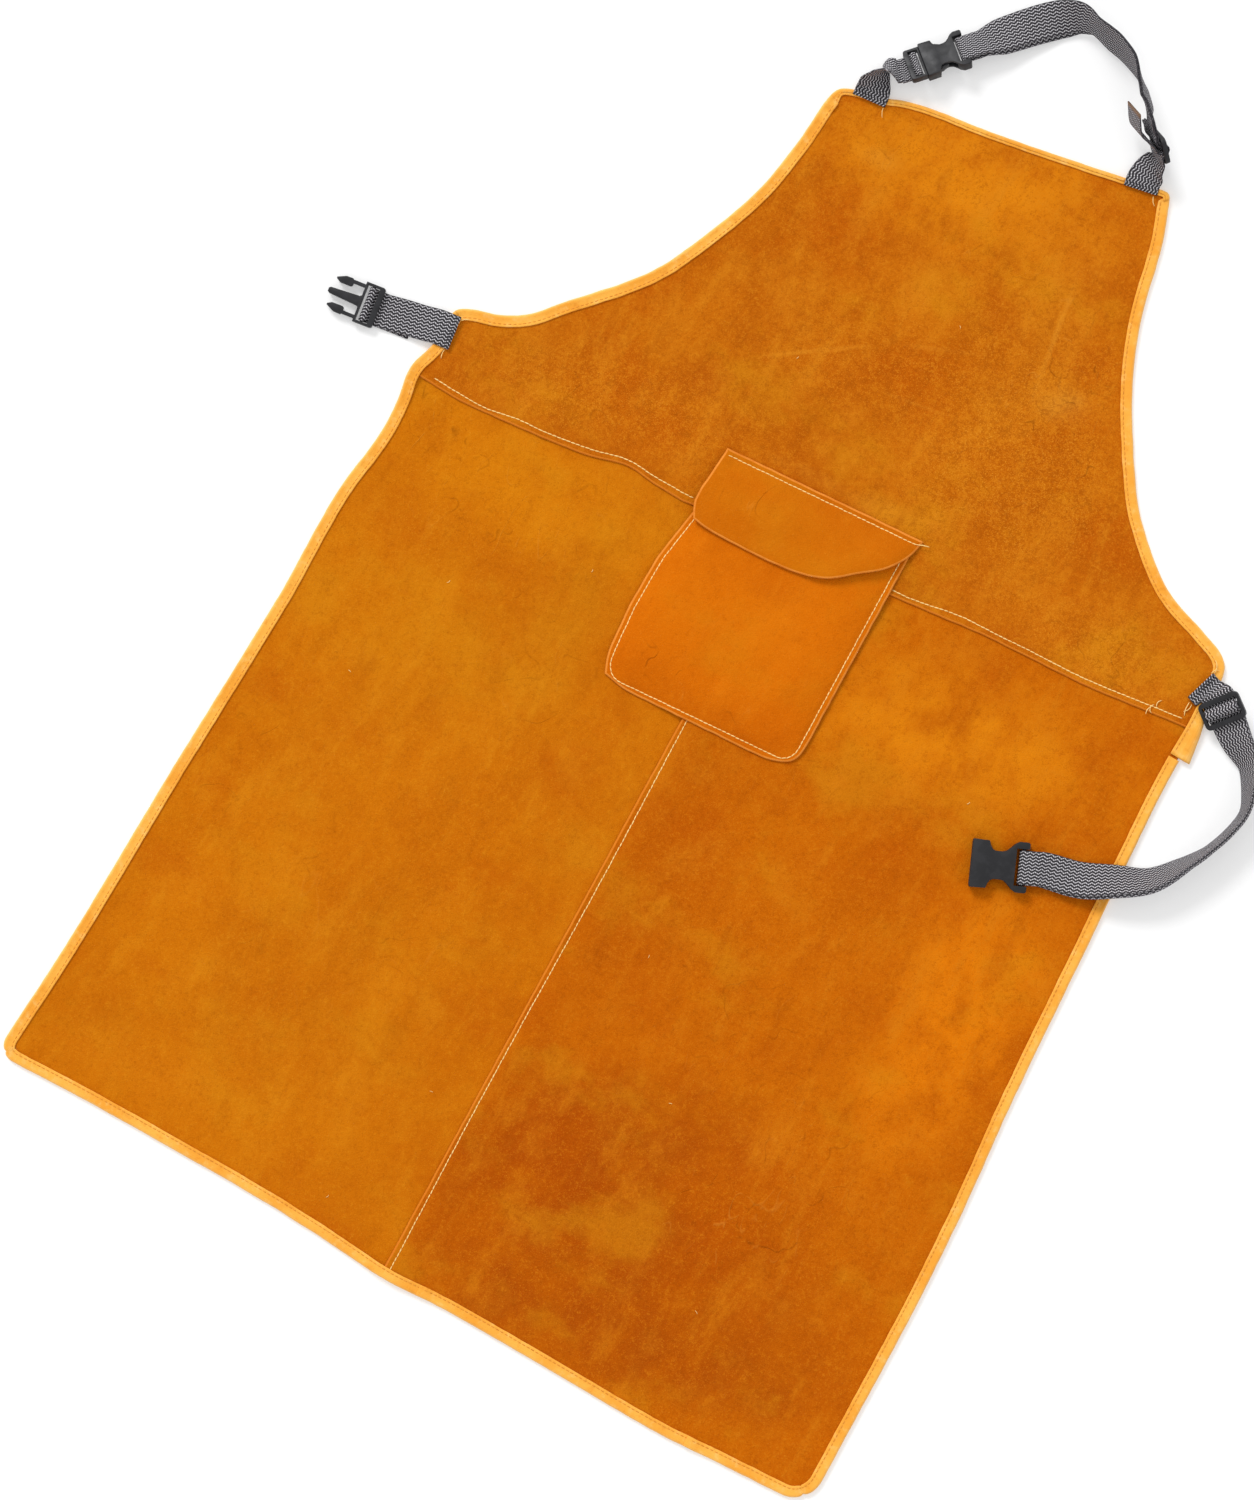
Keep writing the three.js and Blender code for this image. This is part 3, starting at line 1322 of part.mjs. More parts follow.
function makeNeck() {
  const scale = NECK_SLOT / WAIST_SLOT;
  const width = Math.min(WEB_WIDTH, NECK_SLOT - 2);
  const left = corners.bibLeft;
  const right = corners.bibRight;
  const plugSpot = vec(left.x + 0.168 * BIB_TOP_WIDTH, left.y + 0.119 * BIB_LENGTH, NECK_BUCKLE_HIGH);
  const plugFrame = frameAt(plugSpot, NECK_BUCKLE_HEADING - 180, 0, -NECK_BUCKLE_ROLL);
  addHardware('neck_plug', plugGeometry(NECK_SLOT), plugFrame);
  const socketSpot = plugSpot.clone().addScaledVector(axisOf(plugFrame, 0), 46.9 * scale);
  const socketFrame = frameAt(socketSpot, NECK_BUCKLE_HEADING, 0, NECK_BUCKLE_ROLL);
  addHardware('neck_socket', socketGeometry(NECK_SLOT), socketFrame);

  const tabEdge = edges.bibTop(0.905);
  const tabEnd = sewnEnd(tabEdge, 95, TOP_COVER + 0.5, TOP_COVER, 2);
  const tabRoute = localPath(plugFrame, plugRoute(scale, plugReach), -1, width);
  const twist = [
    { along: 0.30, aside: 0.26, high: 0.36, roll: 40 },
    { along: 0.58, aside: 0.32, high: 0.53, roll: 88 },
    { along: 0.84, aside: 0.16, high: 0.48, roll: 136 },
  ];
  const tabStretch = freeStretch(tabEnd[1], { ...tabRoute[0], roll: 158 }, twist, 14).slice(1, -1);
  makeRibbon('neck_tab_left', [...tabEnd, ...tabStretch, ...tabRoute]);

  const sliderSpot = vec(right.x - 0.102 * BIB_TOP_WIDTH, right.y + 0.071 * BIB_LENGTH, 0.80 * WEB_WIDTH);
  const sliderFrame = frameAt(sliderSpot, 137, 35, 94);
  addHardware('neck_slider', sliderGeometry(), sliderFrame);
  const end = sewnEnd(edges.bibTop(0.085), 100, TOP_COVER + 0.5, TOP_COVER, 2);
  const entry = localPath(sliderFrame, sliderLoad.slice(0, 1), -1)[0];
  const rise = [
    { along: 0.45, aside: 0.02, high: 0.27, roll: -18 },
  ];
  const climb = freeStretch(end[1], { ...entry, roll: -60 }, rise, 6).slice(1, -1);
  const tail = localPath(sliderFrame, [
    [5, -6.9, 0], [9, -9, -1], [13, -12, -2], [16.5, -13.6, -3.5], [21, -13, -5.5], [31, -10, -10],
  ], -1);
  doubledStrap('neck_strap', {
    end: [...end, ...climb],
    sliderFrame,
    socketFrame,
    rows: neckRows,
    rolls: [-86, NECK_BUCKLE_ROLL],
    count: 50,
    side: -1,
    slot: NECK_SLOT,
    peek: -3,
    lead: 7,
    tail,
  });
}

makeNeck();

export default apron;
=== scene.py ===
# %% [markdown]
# # A leather welding apron, laid flat
# The real apron is cut from three panels of thick suede, sewn together, bound all round with
# folded tape, and hung from two webbing straps with plastic buckles. Each of those is made
# here the way it is made in the workshop: cut, laid, bound, sewn, and then dyed.
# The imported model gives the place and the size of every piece. Lengths below are in
# millimetres, and are turned into metres as each mesh is made.

# %% Start
import json
import math
import random

import bmesh
import bpy
import numpy as np
from mathutils import Matrix, Vector, geometry, kdtree, noise
from mathutils.bvhtree import BVHTree

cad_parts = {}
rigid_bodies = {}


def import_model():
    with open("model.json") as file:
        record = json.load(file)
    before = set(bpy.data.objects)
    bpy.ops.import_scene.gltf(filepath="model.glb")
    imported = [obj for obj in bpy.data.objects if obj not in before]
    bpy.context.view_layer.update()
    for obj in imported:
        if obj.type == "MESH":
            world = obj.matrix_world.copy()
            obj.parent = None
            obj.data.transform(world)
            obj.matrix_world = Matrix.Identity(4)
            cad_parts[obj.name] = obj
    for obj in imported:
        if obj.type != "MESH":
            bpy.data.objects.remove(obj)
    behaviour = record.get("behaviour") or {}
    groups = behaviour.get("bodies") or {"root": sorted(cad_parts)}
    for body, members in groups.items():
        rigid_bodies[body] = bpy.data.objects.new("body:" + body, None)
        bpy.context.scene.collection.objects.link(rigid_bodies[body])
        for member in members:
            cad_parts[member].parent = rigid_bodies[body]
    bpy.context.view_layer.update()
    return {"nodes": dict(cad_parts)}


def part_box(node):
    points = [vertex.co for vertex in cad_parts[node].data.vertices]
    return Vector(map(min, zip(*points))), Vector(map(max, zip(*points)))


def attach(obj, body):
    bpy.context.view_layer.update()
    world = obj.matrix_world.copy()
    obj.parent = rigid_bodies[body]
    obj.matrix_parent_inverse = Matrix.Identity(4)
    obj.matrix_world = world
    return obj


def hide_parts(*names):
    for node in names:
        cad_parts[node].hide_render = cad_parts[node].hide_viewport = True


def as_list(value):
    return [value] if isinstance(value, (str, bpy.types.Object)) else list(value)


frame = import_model()
MM = 0.001

# %% [markdown]
# The pieces share a few real sizes. They are named once, so that the tape, the stitches and
# the webbing all agree with the leather that they sit on.

# %% Sizes
SKIRT_LENGTH, BIB_LENGTH = 644, 356
HEM_WIDTH, WAIST_WIDTH, BIB_TOP_WIDTH = 714, 652, 263
LEATHER, TAPE, TAPE_COVER, TOP_COVER = 1.8, 1.0, 9, 5.2
WEB_WIDTH, WEB, GAP = 27, 1.3, 0.3
SEAM_EDGE, SEAM_LAP = 5, 12
LAYER = LEATHER + GAP
HUG, PLY = WEB / 2 + GAP, WEB + GAP


def ease(share):
    share = min(1.0, max(0.0, share))
    return share * share * (3 - 2 * share)


# %% [markdown]
# The camera looks straight down, as a catalogue photographer does from a ladder. The apron is
# turned under it by 28.5 degrees. A long lens from far away keeps the rim free of perspective,
# and its distance follows from the 1155 mm of table that the picture's height shows.

# %% Camera
TURN = math.radians(28.5)
PICTURE_HEIGHT = 1155
AIM = (-30.6, -197.1)
LENS, SENSOR = 100, 36

camera = bpy.data.objects.new("camera", bpy.data.cameras.new("camera"))
bpy.context.scene.collection.objects.link(camera)
camera.data.lens = LENS
camera.data.sensor_fit = "VERTICAL"
camera.data.sensor_height = SENSOR
camera.data.clip_end = 50
camera.location = (AIM[0] * MM, AIM[1] * MM, PICTURE_HEIGHT * LENS / SENSOR * MM)
camera.rotation_euler = (0, 0, TURN)
bpy.context.scene.camera = camera
print("camera height:", round(camera.location.z, 3))

# %% [markdown]
# The table is plain white and the light is soft, from all round with a little more from the
# upper left. The table's radiance comes out close to white, so each leather's colour can be
# mixed straight from what the eye sees.

# %% Table and light
floor_mesh = bpy.data.meshes.new("table")
floor_mesh.from_pydata([(-4, -4, 0), (4, -4, 0), (4, 4, 0), (-4, 4, 0)], [], [(0, 1, 2, 3)])
table = bpy.data.objects.new("table", floor_mesh)
table.location.z = -0.0004
bpy.context.scene.collection.objects.link(table)

world = bpy.data.worlds.new("studio")
world.use_nodes = True
world.node_tree.nodes["Background"].inputs["Color"].default_value = (1, 1, 1, 1)
world.node_tree.nodes["Background"].inputs["Strength"].default_value = 0.84
bpy.context.scene.world = world


def add_sun(name, heading, from_upright, strength, soft):
    lamp = bpy.data.lights.new(name, "SUN")
    lamp.energy = strength
    lamp.angle = math.radians(soft)
    sun = bpy.data.objects.new(name, lamp)
    sun.rotation_euler = (math.radians(from_upright), 0, math.radians(heading + 90))
    bpy.context.scene.collection.objects.link(sun)
    return sun


add_sun("key", 118 + 28.5, 50, 1.75, 20)
bpy.context.scene.view_settings.view_transform = "Standard"
bpy.context.scene.view_settings.look = "None"

# %% [markdown]
# Shader maths reads best as sums. `Wire` wraps one socket, so that `1 - mask` or `cloud * 0.4`
# adds the Math nodes it stands for. `Dye` holds one material's nodes, and its `node` method
# makes any other kind: its settings first, then the values or links of its sockets.


# %% Shader words
class Wire:
    def __init__(self, dye, socket):
        self.dye, self.socket = dye, socket

    def maths(self, operation, first, second=0.0, third=None):
        sockets = {0: first, 1: second}
        if third is not None:
            sockets[2] = third
        return self.dye.node("ShaderNodeMath", {"operation": operation}, sockets)[0]

    def __add__(self, other):
        return self.maths("ADD", self, other)

    def __sub__(self, other):
        return self.maths("SUBTRACT", self, other)

    def __rsub__(self, other):
        return self.maths("SUBTRACT", other, self)

    def __mul__(self, other):
        return self.maths("MULTIPLY", self, other)

    def __truediv__(self, other):
        return self.maths("DIVIDE", self, other)

    def __pow__(self, power):
        return self.maths("POWER", self, power)

    __radd__, __rmul__ = __add__, __mul__

    def waves(self):
        return self.maths("SINE", self * math.tau) * 0.5 + 0.5

    def zigzag(self, width=1.0):
        return self.maths("PINGPONG", self, width)

    def least(self, other):
        return self.maths("MINIMUM", self, other)

    def most(self, other):
        return self.maths("MAXIMUM", self, other)

    def ramp(self, low, high):
        sockets = {"Value": self, "From Min": low, "From Max": high}
        settings = {"interpolation_type": "SMOOTHSTEP"}
        return self.dye.node("ShaderNodeMapRange", settings, sockets)[0]


def paint(red, green, blue):
    """A colour as the eye reads it, 0 to 255, as the renderer's light values."""
    share = [v / 255 for v in (red, green, blue)]
    light = [s / 12.92 if s <= 0.04045 else ((s + 0.055) / 1.055) ** 2.4 for s in share]
    return (*light, 1.0)


class Dye:
    def __init__(self, name):
        self.material = bpy.data.materials.new(name)
        self.material.use_nodes = True
        self.tree = self.material.node_tree
        self.shader = self.tree.nodes["Principled BSDF"]

    def node(self, kind, settings=None, sockets=None):
        made = self.tree.nodes.new(kind)
        for key, value in (settings or {}).items():
            setattr(made, key, value)
        for key, value in (sockets or {}).items():
            self.plug(made.inputs[key], value)
        return [Wire(self, out) for out in made.outputs]

    def plug(self, socket, value):
        if isinstance(value, Wire):
            self.tree.links.new(value.socket, socket)
        else:
            socket.default_value = value

    def finish(self, **sockets):
        for key, value in sockets.items():
            self.plug(self.shader.inputs[key.replace("_", " ")], value)
        return self.material

    def place(self):
        return self.node("ShaderNodeTexCoord")[3]

    def cloud(self, where, per_metre, detail=3.0, rough=0.55, twist=0.0, shift=(0, 0, 0), stretch=(1, 1, 1)):
        moved = self.node(
            "ShaderNodeMapping", None, {"Vector": where, "Location": shift, "Scale": stretch}
        )[0]
        sockets = {"Vector": moved, "Scale": per_metre, "Detail": detail, "Roughness": rough, "Distortion": twist}
        return self.node("ShaderNodeTexNoise", None, sockets)[0]

    def blend(self, share, first, second, way="MIX"):
        mixed = self.tree.nodes.new("ShaderNodeMix")
        mixed.data_type = "RGBA"
        mixed.blend_type = way
        for index, value in ((0, share), (6, first), (7, second)):
            self.plug(mixed.inputs[index], value)
        return Wire(self, mixed.outputs[2])

    def bump(self, height, distance, strength=1.0, under=None):
        sockets = {"Height": height, "Distance": distance, "Strength": strength}
        if under is not None:
            sockets["Normal"] = under
        return self.node("ShaderNodeBump", None, sockets)[0]

    def spot(self, where, x, y, wide, high, turn=0.0, ragged=0.35):
        """1 in the middle of an oval patch with a ragged rim, 0 outside. Lengths in mm."""
        moved = self.node("ShaderNodeMapping", {"vector_type": "TEXTURE"}, {
            "Vector": where,
            "Location": (x * MM, y * MM, 0),
            "Rotation": (0, 0, math.radians(turn)),
            "Scale": (wide * MM, high * MM, 1),
        })[0]
        flat = self.node("ShaderNodeVectorMath", {"operation": "MULTIPLY"}, {0: moved, 1: (1, 1, 0)})[0]
        length = self.node("ShaderNodeVectorMath", {"operation": "LENGTH"}, {0: flat})[1]
        rim = self.cloud(where, 28, 4, 0.6) - 0.5
        return 1 - (length + rim * ragged * 2).ramp(0.15, 1.0)


print("a colour:", [round(v, 3) for v in paint(205, 110, 12)])

# %% [markdown]
# Split suede is never one colour. The dye takes up differently where the hide is dense or
# loose, so there are slow clouds as wide as a hand, smaller mottling as wide as a thumb, and
# a grain of short pale and dark fibres. Veins of the hide show as thin wandering lines, some
# dark and some pale, mostly where a panel was folded in its bag. A vein is drawn where a slow
# noise crosses its middle value, which gives long bent lines that never form a net.

# %% Suede


def vein(dye, where, per_metre, thin, shift, stretch=(1, 1, 1)):
    """1 along thin wandering lines, 0 between them, broken up along their length."""
    level = dye.cloud(where, per_metre, 2, 0.45, 0.2, shift, stretch)
    away = (level - 0.5).maths("ABSOLUTE", level - 0.5)
    broken = dye.cloud(where, per_metre * 2.2, 2, 0.5, 0.0, (shift[1] + 4, shift[0], 1)).ramp(0.47, 0.60)
    return (1 - away.ramp(0.0, thin)) * broken


SOAK = 0.86  # the nap drinks some of the light that a flat colour would give back


def darker(colour, share):
    return tuple(share * v for v in colour[:3]) + (1.0,)


def suede(name, base, deep, pale, shift, patches=(), creases=(), grain=1.0, speckled=()):
    """base, deep and pale are the dye's colours. A patch is (x, y, wide, high, turn, colour,
    share); a crease patch is (x, y, wide, high, turn, strength); a speckled patch is the same
    and darkens the loose fibres there."""
    base, deep, pale = (darker(colour, SOAK) for colour in (base, deep, pale))
    dye = Dye(name)
    where = dye.place()
    slow = dye.cloud(where, 8, 3, 0.5, 0.0, shift)
    hand = dye.cloud(where, 24, 4, 0.62, 0.0, shift, (1.0, 0.75, 1))
    thumb = dye.cloud(where, 85, 4, 0.66, 0.0, shift)
    fibre = dye.cloud(where, 330, 4, 0.72, 0.0, shift)
    nap = dye.cloud(where, 1100, 2, 0.6, 0.0, shift)

    colour = dye.blend(slow.ramp(0.40, 0.64) * 0.42, base, deep)
    broken = hand.ramp(0.32, 0.66) * 0.7 + 0.5
    for x, y, wide, high, turn, shade, share in patches:
        much = dye.spot(where, x, y, wide, high, turn) * broken * share
        colour = dye.blend(much.least(1.0), colour, darker(shade, SOAK))
    palm = dye.cloud(where, 13, 5, 0.62, 0.0, (shift[1], shift[0], 1.4), (0.8, 1, 1))
    colour = dye.blend(palm.ramp(0.51, 0.70) * (0.40 * grain), colour, darker(paint(216, 138, 18), SOAK))
    colour = dye.blend((1 - palm).ramp(0.51, 0.70) * (0.40 * grain), colour, darker(paint(190, 84, 3), SOAK))
    colour = dye.blend(hand.ramp(0.50, 0.72) * (0.30 * grain), colour, pale)
    colour = dye.blend((1 - hand.ramp(0.28, 0.48)) * (0.40 * grain), colour, deep)
    rough = dye.cloud(where, 9, 2, 0.5, 0.0, shift) * 0.3 + 0.85
    # Speckled patches also strengthen the painted glints further down.
    for x, y, wide, high, turn, strength in speckled:
        rough = dye.spot(where, x, y, wide, high, turn, 0.6) * strength + rough
    mottle = (thumb - 0.5) * (1.1 * grain) + (fibre - 0.5) * (2.1 * grain) + (nap - 0.5) * (1.5 * grain)
    mottle = mottle * rough
    brushed = dye.cloud(where, 46, 5, 0.68, 0.0, shift, (1.0, 0.30, 1))
    colour = dye.blend(brushed.ramp(0.50, 0.74) * (0.46 * grain), colour, pale)
    colour = dye.blend((1 - brushed).ramp(0.52, 0.76) * (0.40 * grain), colour, darker(deep, 0.85))
    colour = dye.blend(mottle.ramp(0.02, 0.62) * 0.46, colour, pale)
    colour = dye.blend((mottle * -1).ramp(0.02, 0.62) * 0.36, colour, darker(deep, 0.66))

    # Painted glints: bright specks on the raised nap, painted into the colour as a specular sparkle.
    painted_glint = nap.ramp(0.55, 0.72) * (rough - 0.75)
    colour = dye.blend(painted_glint.least(1.0) * 0.55, colour, darker(paint(240, 160, 50), SOAK))

    folded = 0.10
    for x, y, wide, high, turn, strength in creases:
        folded = dye.spot(where, x, y, wide, high, turn, 0.5) * strength + folded
    dark_vein = vein(dye, where, 22, 0.012, shift) * folded
    fine_vein = vein(dye, where, 60, 0.016, (shift[2], 2.0, 0.3)) * folded
    pale_vein = vein(dye, where, 30, 0.008, (7.0, shift[0], 0.6), (1, 0.35, 1)) * folded
    colour = dye.blend(dark_vein.least(1.0) * 0.50, colour, darker(deep, 0.45))
    colour = dye.blend(fine_vein.least(1.0) * 0.34, colour, darker(deep, 0.50))
    colour = dye.blend(pale_vein.least(1.0) * 0.22, colour, paint(228, 150, 52))

    height = fibre * 0.7 + nap * 0.4 + thumb * 0.8 - dark_vein * 0.5 + pale_vein * 0.4
    return dye.finish(
        Base_Color=colour, Roughness=0.95, Specular_IOR_Level=0.04,
        Normal=dye.bump(height, 0.0010, 0.75),
    )


bib_suede = suede(
    "bib suede", paint(203, 108, 10), paint(184, 88, 5), paint(222, 134, 24), (0.3, 0.1, 0.0),
    patches=[
        (139, 196, 30, 20, 20, paint(224, 148, 44), 0.65),
        (-113, 84, 50, 24, 25, paint(178, 78, 6), 0.50),
        (-20, 320, 200, 90, 12, paint(236, 140, 16), 0.72),
        (110, 230, 40, 110, 10, paint(214, 126, 20), 0.45),
        (230, 60, 110, 50, 20, paint(206, 112, 12), 0.50),
        (-20, 120, 100, 46, 15, paint(196, 100, 8), 0.45),
        (108, 234, 3.5, 62, 8.4, paint(232, 148, 38), 0.55),
        (-51, 141, 60, 3.2, 34, paint(230, 144, 34), 0.50),
        (33, 188, 42, 3.2, 21, paint(230, 144, 34), 0.50),
        (40, 143, 42, 2.6, 8, paint(230, 144, 34), 0.45),
        (-6, 56, 44, 9, 2, paint(226, 138, 32), 0.60),
        (-74, 296, 24, 13, 10, paint(228, 144, 34), 0.50),
        (60, 60, 50, 12, 8, paint(222, 136, 32), 0.45),
    ],
    creases=[(140, 190, 80, 110, 20, 0.9), (60, 265, 110, 16, 4, 0.6), (250, 40, 90, 40, 20, 0.5),
             (-60, 300, 60, 40, 0, 0.35), (-180, 30, 110, 30, 15, 0.45)],
    speckled=[(120, 150, 120, 130, 10, 0.8), (-160, 40, 160, 50, 15, 0.5), (240, 40, 110, 50, 0, 0.4),
              (-20, 150, 90, 60, 20, 0.4)],
    grain=1.3,
)
left_suede = suede(
    "left suede", paint(210, 116, 7), paint(194, 98, 4), paint(224, 138, 20), (1.7, 0.4, 0.2),
    patches=[
        (-190, -60, 170, 70, 5, paint(219, 127, 9), 0.75),
        (-120, -130, 44, 130, 5, paint(206, 124, 12), 0.60),
        (-210, -200, 110, 90, -8, paint(214, 126, 9), 0.60),
        (-110, -320, 90, 100, 12, paint(202, 104, 4), 0.65),
        (-40, -420, 60, 190, 0, paint(198, 101, 3), 0.65),
        (-160, -520, 110, 60, 10, paint(200, 106, 5), 0.60),
        (-280, -420, 60, 130, 6, paint(212, 116, 6), 0.50),
        (-240, -590, 110, 34, 4, paint(212, 117, 10), 0.60),
    ],
    creases=[
        (-285, -50, 50, 50, -40, 0.9), (-190, -80, 110, 90, 20, 0.55), (-110, -190, 60, 90, 0, 0.4),
        (-290, -330, 40, 120, 0, 0.4), (-160, -420, 140, 110, 0, 0.25),
    ],
)
right_suede = suede(
    "right suede", paint(205, 104, 4), paint(186, 86, 2), paint(218, 126, 18), (3.1, 2.2, 0.5),
    patches=[
        (190, -70, 190, 70, 10, paint(234, 138, 14), 0.80),
        (290, -260, 80, 170, 5, paint(238, 130, 8), 0.75),
        (40, -280, 70, 190, 0, paint(190, 90, 3), 0.70),
        (120, -520, 230, 150, 20, paint(174, 73, 3), 0.85),
        (60, -480, 90, 80, 20, paint(172, 70, 3), 0.55),
        (290, -560, 90, 70, 0, paint(180, 82, 4), 0.70),
        (170, -600, 240, 60, 10, paint(172, 74, 4), 0.80),
        (130, -440, 120, 60, 10, paint(176, 78, 4), 0.55),
    ],
    creases=[(200, -480, 60, 60, 30, 0.9), (150, -330, 120, 90, 30, 0.35), (250, -430, 80, 120, 0, 0.5),
             (90, -140, 60, 60, 0, 0.3)],
    grain=1.15,
)
pocket_suede = suede(
    "pocket suede", paint(221, 112, 5), paint(206, 97, 2), paint(232, 128, 16), (5.3, 1.0, 0.9),
    patches=[(20, -60, 60, 46, 20, paint(224, 118, 7), 0.5), (60, -130, 46, 26, 0, paint(212, 100, 3), 0.5)],
    creases=[(-40, -130, 46, 18, -10, 0.8), (10, -140, 50, 16, 25, 0.6)], grain=0.75,
)
flap_suede = suede(
    "flap suede", paint(210, 109, 6), paint(196, 95, 3), paint(224, 128, 18), (6.1, 3.0, 0.4),
    patches=[(-30, 14, 60, 14, 10, paint(220, 122, 12), 0.5)],
    creases=[(-30, 20, 60, 24, 0, 0.6)], grain=0.6,
)
print("suedes:", len([m for m in bpy.data.materials if "suede" in m.name]))

# %% [markdown]
# Where a panel is cut, the inside of the hide shows: a pale, fuzzy line of undyed fibres.


# %% Cut edge
def pale_edge(name, colour):
    dye = Dye(name)
    where = dye.place()
    fuzz = dye.cloud(where, 900, 3, 0.6)
    slow = dye.cloud(where, 70, 3, 0.6)
    shade = dye.blend(fuzz.ramp(0.35, 0.7) * 0.5, colour, tuple(0.72 * v for v in colour[:3]) + (1.0,))
    shade = dye.blend(slow.ramp(0.45, 0.7) * 0.6, shade, paint(206, 112, 24))
    return dye.finish(
        Base_Color=shade, Roughness=0.95, Specular_IOR_Level=0.15, Normal=dye.bump(fuzz, 0.0004, 0.6)
    )


cut_edge = pale_edge("cut edge", paint(228, 138, 50))
nap_edge = pale_edge("nap edge", paint(214, 122, 30))
print("cut edges ready")

# %% [markdown]
# The table top is matt and near white, and it glows a little though it is no lamp: painted
# light that lifts the shadows cast on it, so that it reads as clean as a lit backdrop and
# keeps only a breath of shadow along the rim.

# %% Paint the table
table_dye = Dye("table paint")
faint = table_dye.cloud(table_dye.place(), 3, 2, 0.5)
glowing_table_paint = table_dye.finish(
    Base_Color=table_dye.blend(faint.ramp(0.3, 0.7), (0.70, 0.70, 0.70, 1.0), (0.68, 0.68, 0.68, 1.0)),
    Roughness=0.9, Specular_IOR_Level=0.05,
    # Emission: a painted glow that lifts the shadows cast on the table.
    Emission_Color=table_dye.blend(faint.ramp(0.3, 0.7), (1.0, 1.0, 1.0, 1.0), (0.99, 0.99, 0.99, 1.0)),
    Emission_Strength=0.30,
)
table.data.materials.append(glowing_table_paint)
print("table painted")

# %% [markdown]
# Every new mesh is made from plain lists of points in millimetres and hooked up to the frame
# in the same way: it rides on the apron's one body and hides the imported solid that it
# stands for.


# %% Mesh helpers
def make_mesh(name, points, faces, materials, node=(), smooth=True, face_slots=None):
    mesh = bpy.data.meshes.new(name)
    mesh.from_pydata([(p[0] * MM, p[1] * MM, max(0.0, p[2]) * MM) for p in points], [], faces)
    for material in materials:
        mesh.materials.append(material)
    if face_slots is not None:
        mesh.polygons.foreach_set("material_index", face_slots)
    mesh.polygons.foreach_set("use_smooth", [smooth] * len(mesh.polygons))
    mesh.update()
    piece = bpy.data.objects.new(name, mesh)
    bpy.context.scene.collection.objects.link(piece)
    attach(piece, "root")
    if node:
        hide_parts(*node)
    return piece


def cad_arrays(node):
    """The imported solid's points in millimetres and its triangles, with equal points merged."""
    mesh = frame["nodes"][node].data
    points = np.array([v.co for v in mesh.vertices]) / MM
    keys, index = {}, []
    for p in points:
        index.append(keys.setdefault(tuple(np.round(p, 3)), len(keys)))
    merged = np.array(list(keys))
    mesh.calc_loop_triangles()
    triangles = [[index[v] for v in t.vertices] for t in mesh.loop_triangles]
    return merged, [t for t in triangles if len(set(t)) == 3]


class Surface:
    """The upper (or lower) side of something, asked for its height at a spot in plan."""

    def __init__(self, points, triangles, up=1, steep=0.35):
        points = np.array(points)
        a, b, c = (points[[t[k] for t in triangles]] for k in range(3))
        normal = np.cross(b - a, c - a)
        normal /= np.maximum(np.linalg.norm(normal, axis=1, keepdims=True), 1e-12)
        kept = [t for t, n in zip(triangles, normal) if n[2] * up > steep]
        self.triangles, self.points, self.up = kept, points, up
        self.tree = BVHTree.FromPolygons([tuple(p) for p in points], kept)

    def height(self, x, y):
        spot = self.tree.ray_cast(Vector((x, y, 200 * self.up)), Vector((0, 0, -self.up)))[0]
        if spot is None:
            near = self.tree.find_nearest(Vector((x, y, 6)))[0]
            for _ in range(2):
                near = self.tree.find_nearest(Vector((x, y, near.z)))[0]
            return near.z
        return spot.z

    def rim(self):
        """The side's outer rim as one loop of points, anticlockwise seen from above."""
        seen = {}
        for t in self.triangles:
            for k in range(3):
                edge = (t[k], t[(k + 1) % 3])
                seen[edge] = seen.get(edge, 0) + 1
        following = {a: b for a, b in seen if (b, a) not in seen}
        best = []
        left = set(following)
        while left:
            start = left.pop()
            loop, at = [start], following[start]
            while at != start and at in left:
                left.remove(at)
                loop.append(at)
                at = following[at]
            if len(loop) > len(best):
                best = loop
        return [self.points[i][:2] for i in best]


def resample(points, step, closed=False):
    """Points at even steps along a path of any dimension."""
    path = np.array(points, float)
    if closed:
        path = np.vstack([path, path[:1]])
    lengths = np.r_[0, np.cumsum(np.linalg.norm(np.diff(path, axis=0), axis=1))]
    count = max(2, int(round(lengths[-1] / step)) + 1)
    at = np.linspace(0, lengths[-1], count)
    made = np.stack([np.interp(at, lengths, path[:, k]) for k in range(path.shape[1])], 1)
    return made[:-1] if closed else made


def rounded(points, step, passes, closed=False, sharp=180):
    """An even path through the points, its facets eased away, corners over `sharp` kept."""
    base = np.array(points, float)
    fine = resample(base, step, closed)
    held = np.zeros(len(fine), bool)
    if closed:
        for i in range(len(base)):
            a, b, c = base[i - 1], base[i], base[(i + 1) % len(base)]
            u, v = b - a, c - b
            cosine = u @ v / max(1e-9, np.linalg.norm(u) * np.linalg.norm(v))
            if math.degrees(math.acos(max(-1, min(1, cosine)))) > sharp:
                near = int(np.argmin(np.linalg.norm(fine - b, axis=1)))
                fine[near], held[near] = b, True
    else:
        held[0] = held[-1] = True
    for _ in range(passes):
        moved = (np.roll(fine, 1, 0) + np.roll(fine, -1, 0)) / 4 + fine / 2
        fine = np.where(held[:, None], fine, moved)
    return fine


def inside_offset(loop, distance):
    """The loop's points moved inward, for an anticlockwise loop."""
    ahead, behind = np.roll(loop, -1, 0), np.roll(loop, 1, 0)
    travel = ahead - behind
    travel /= np.maximum(np.linalg.norm(travel, axis=1, keepdims=True), 1e-9)
    return loop + np.stack([-travel[:, 1], travel[:, 0]], 1) * distance


print("skirt rim points:", len(Surface(*cad_arrays("skirt_left")).rim()))

# %% [markdown]
# The waist seam wanders a little, because the hide stretched as it was sewn. The same rows of
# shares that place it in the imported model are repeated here, so stitches and groove follow it.

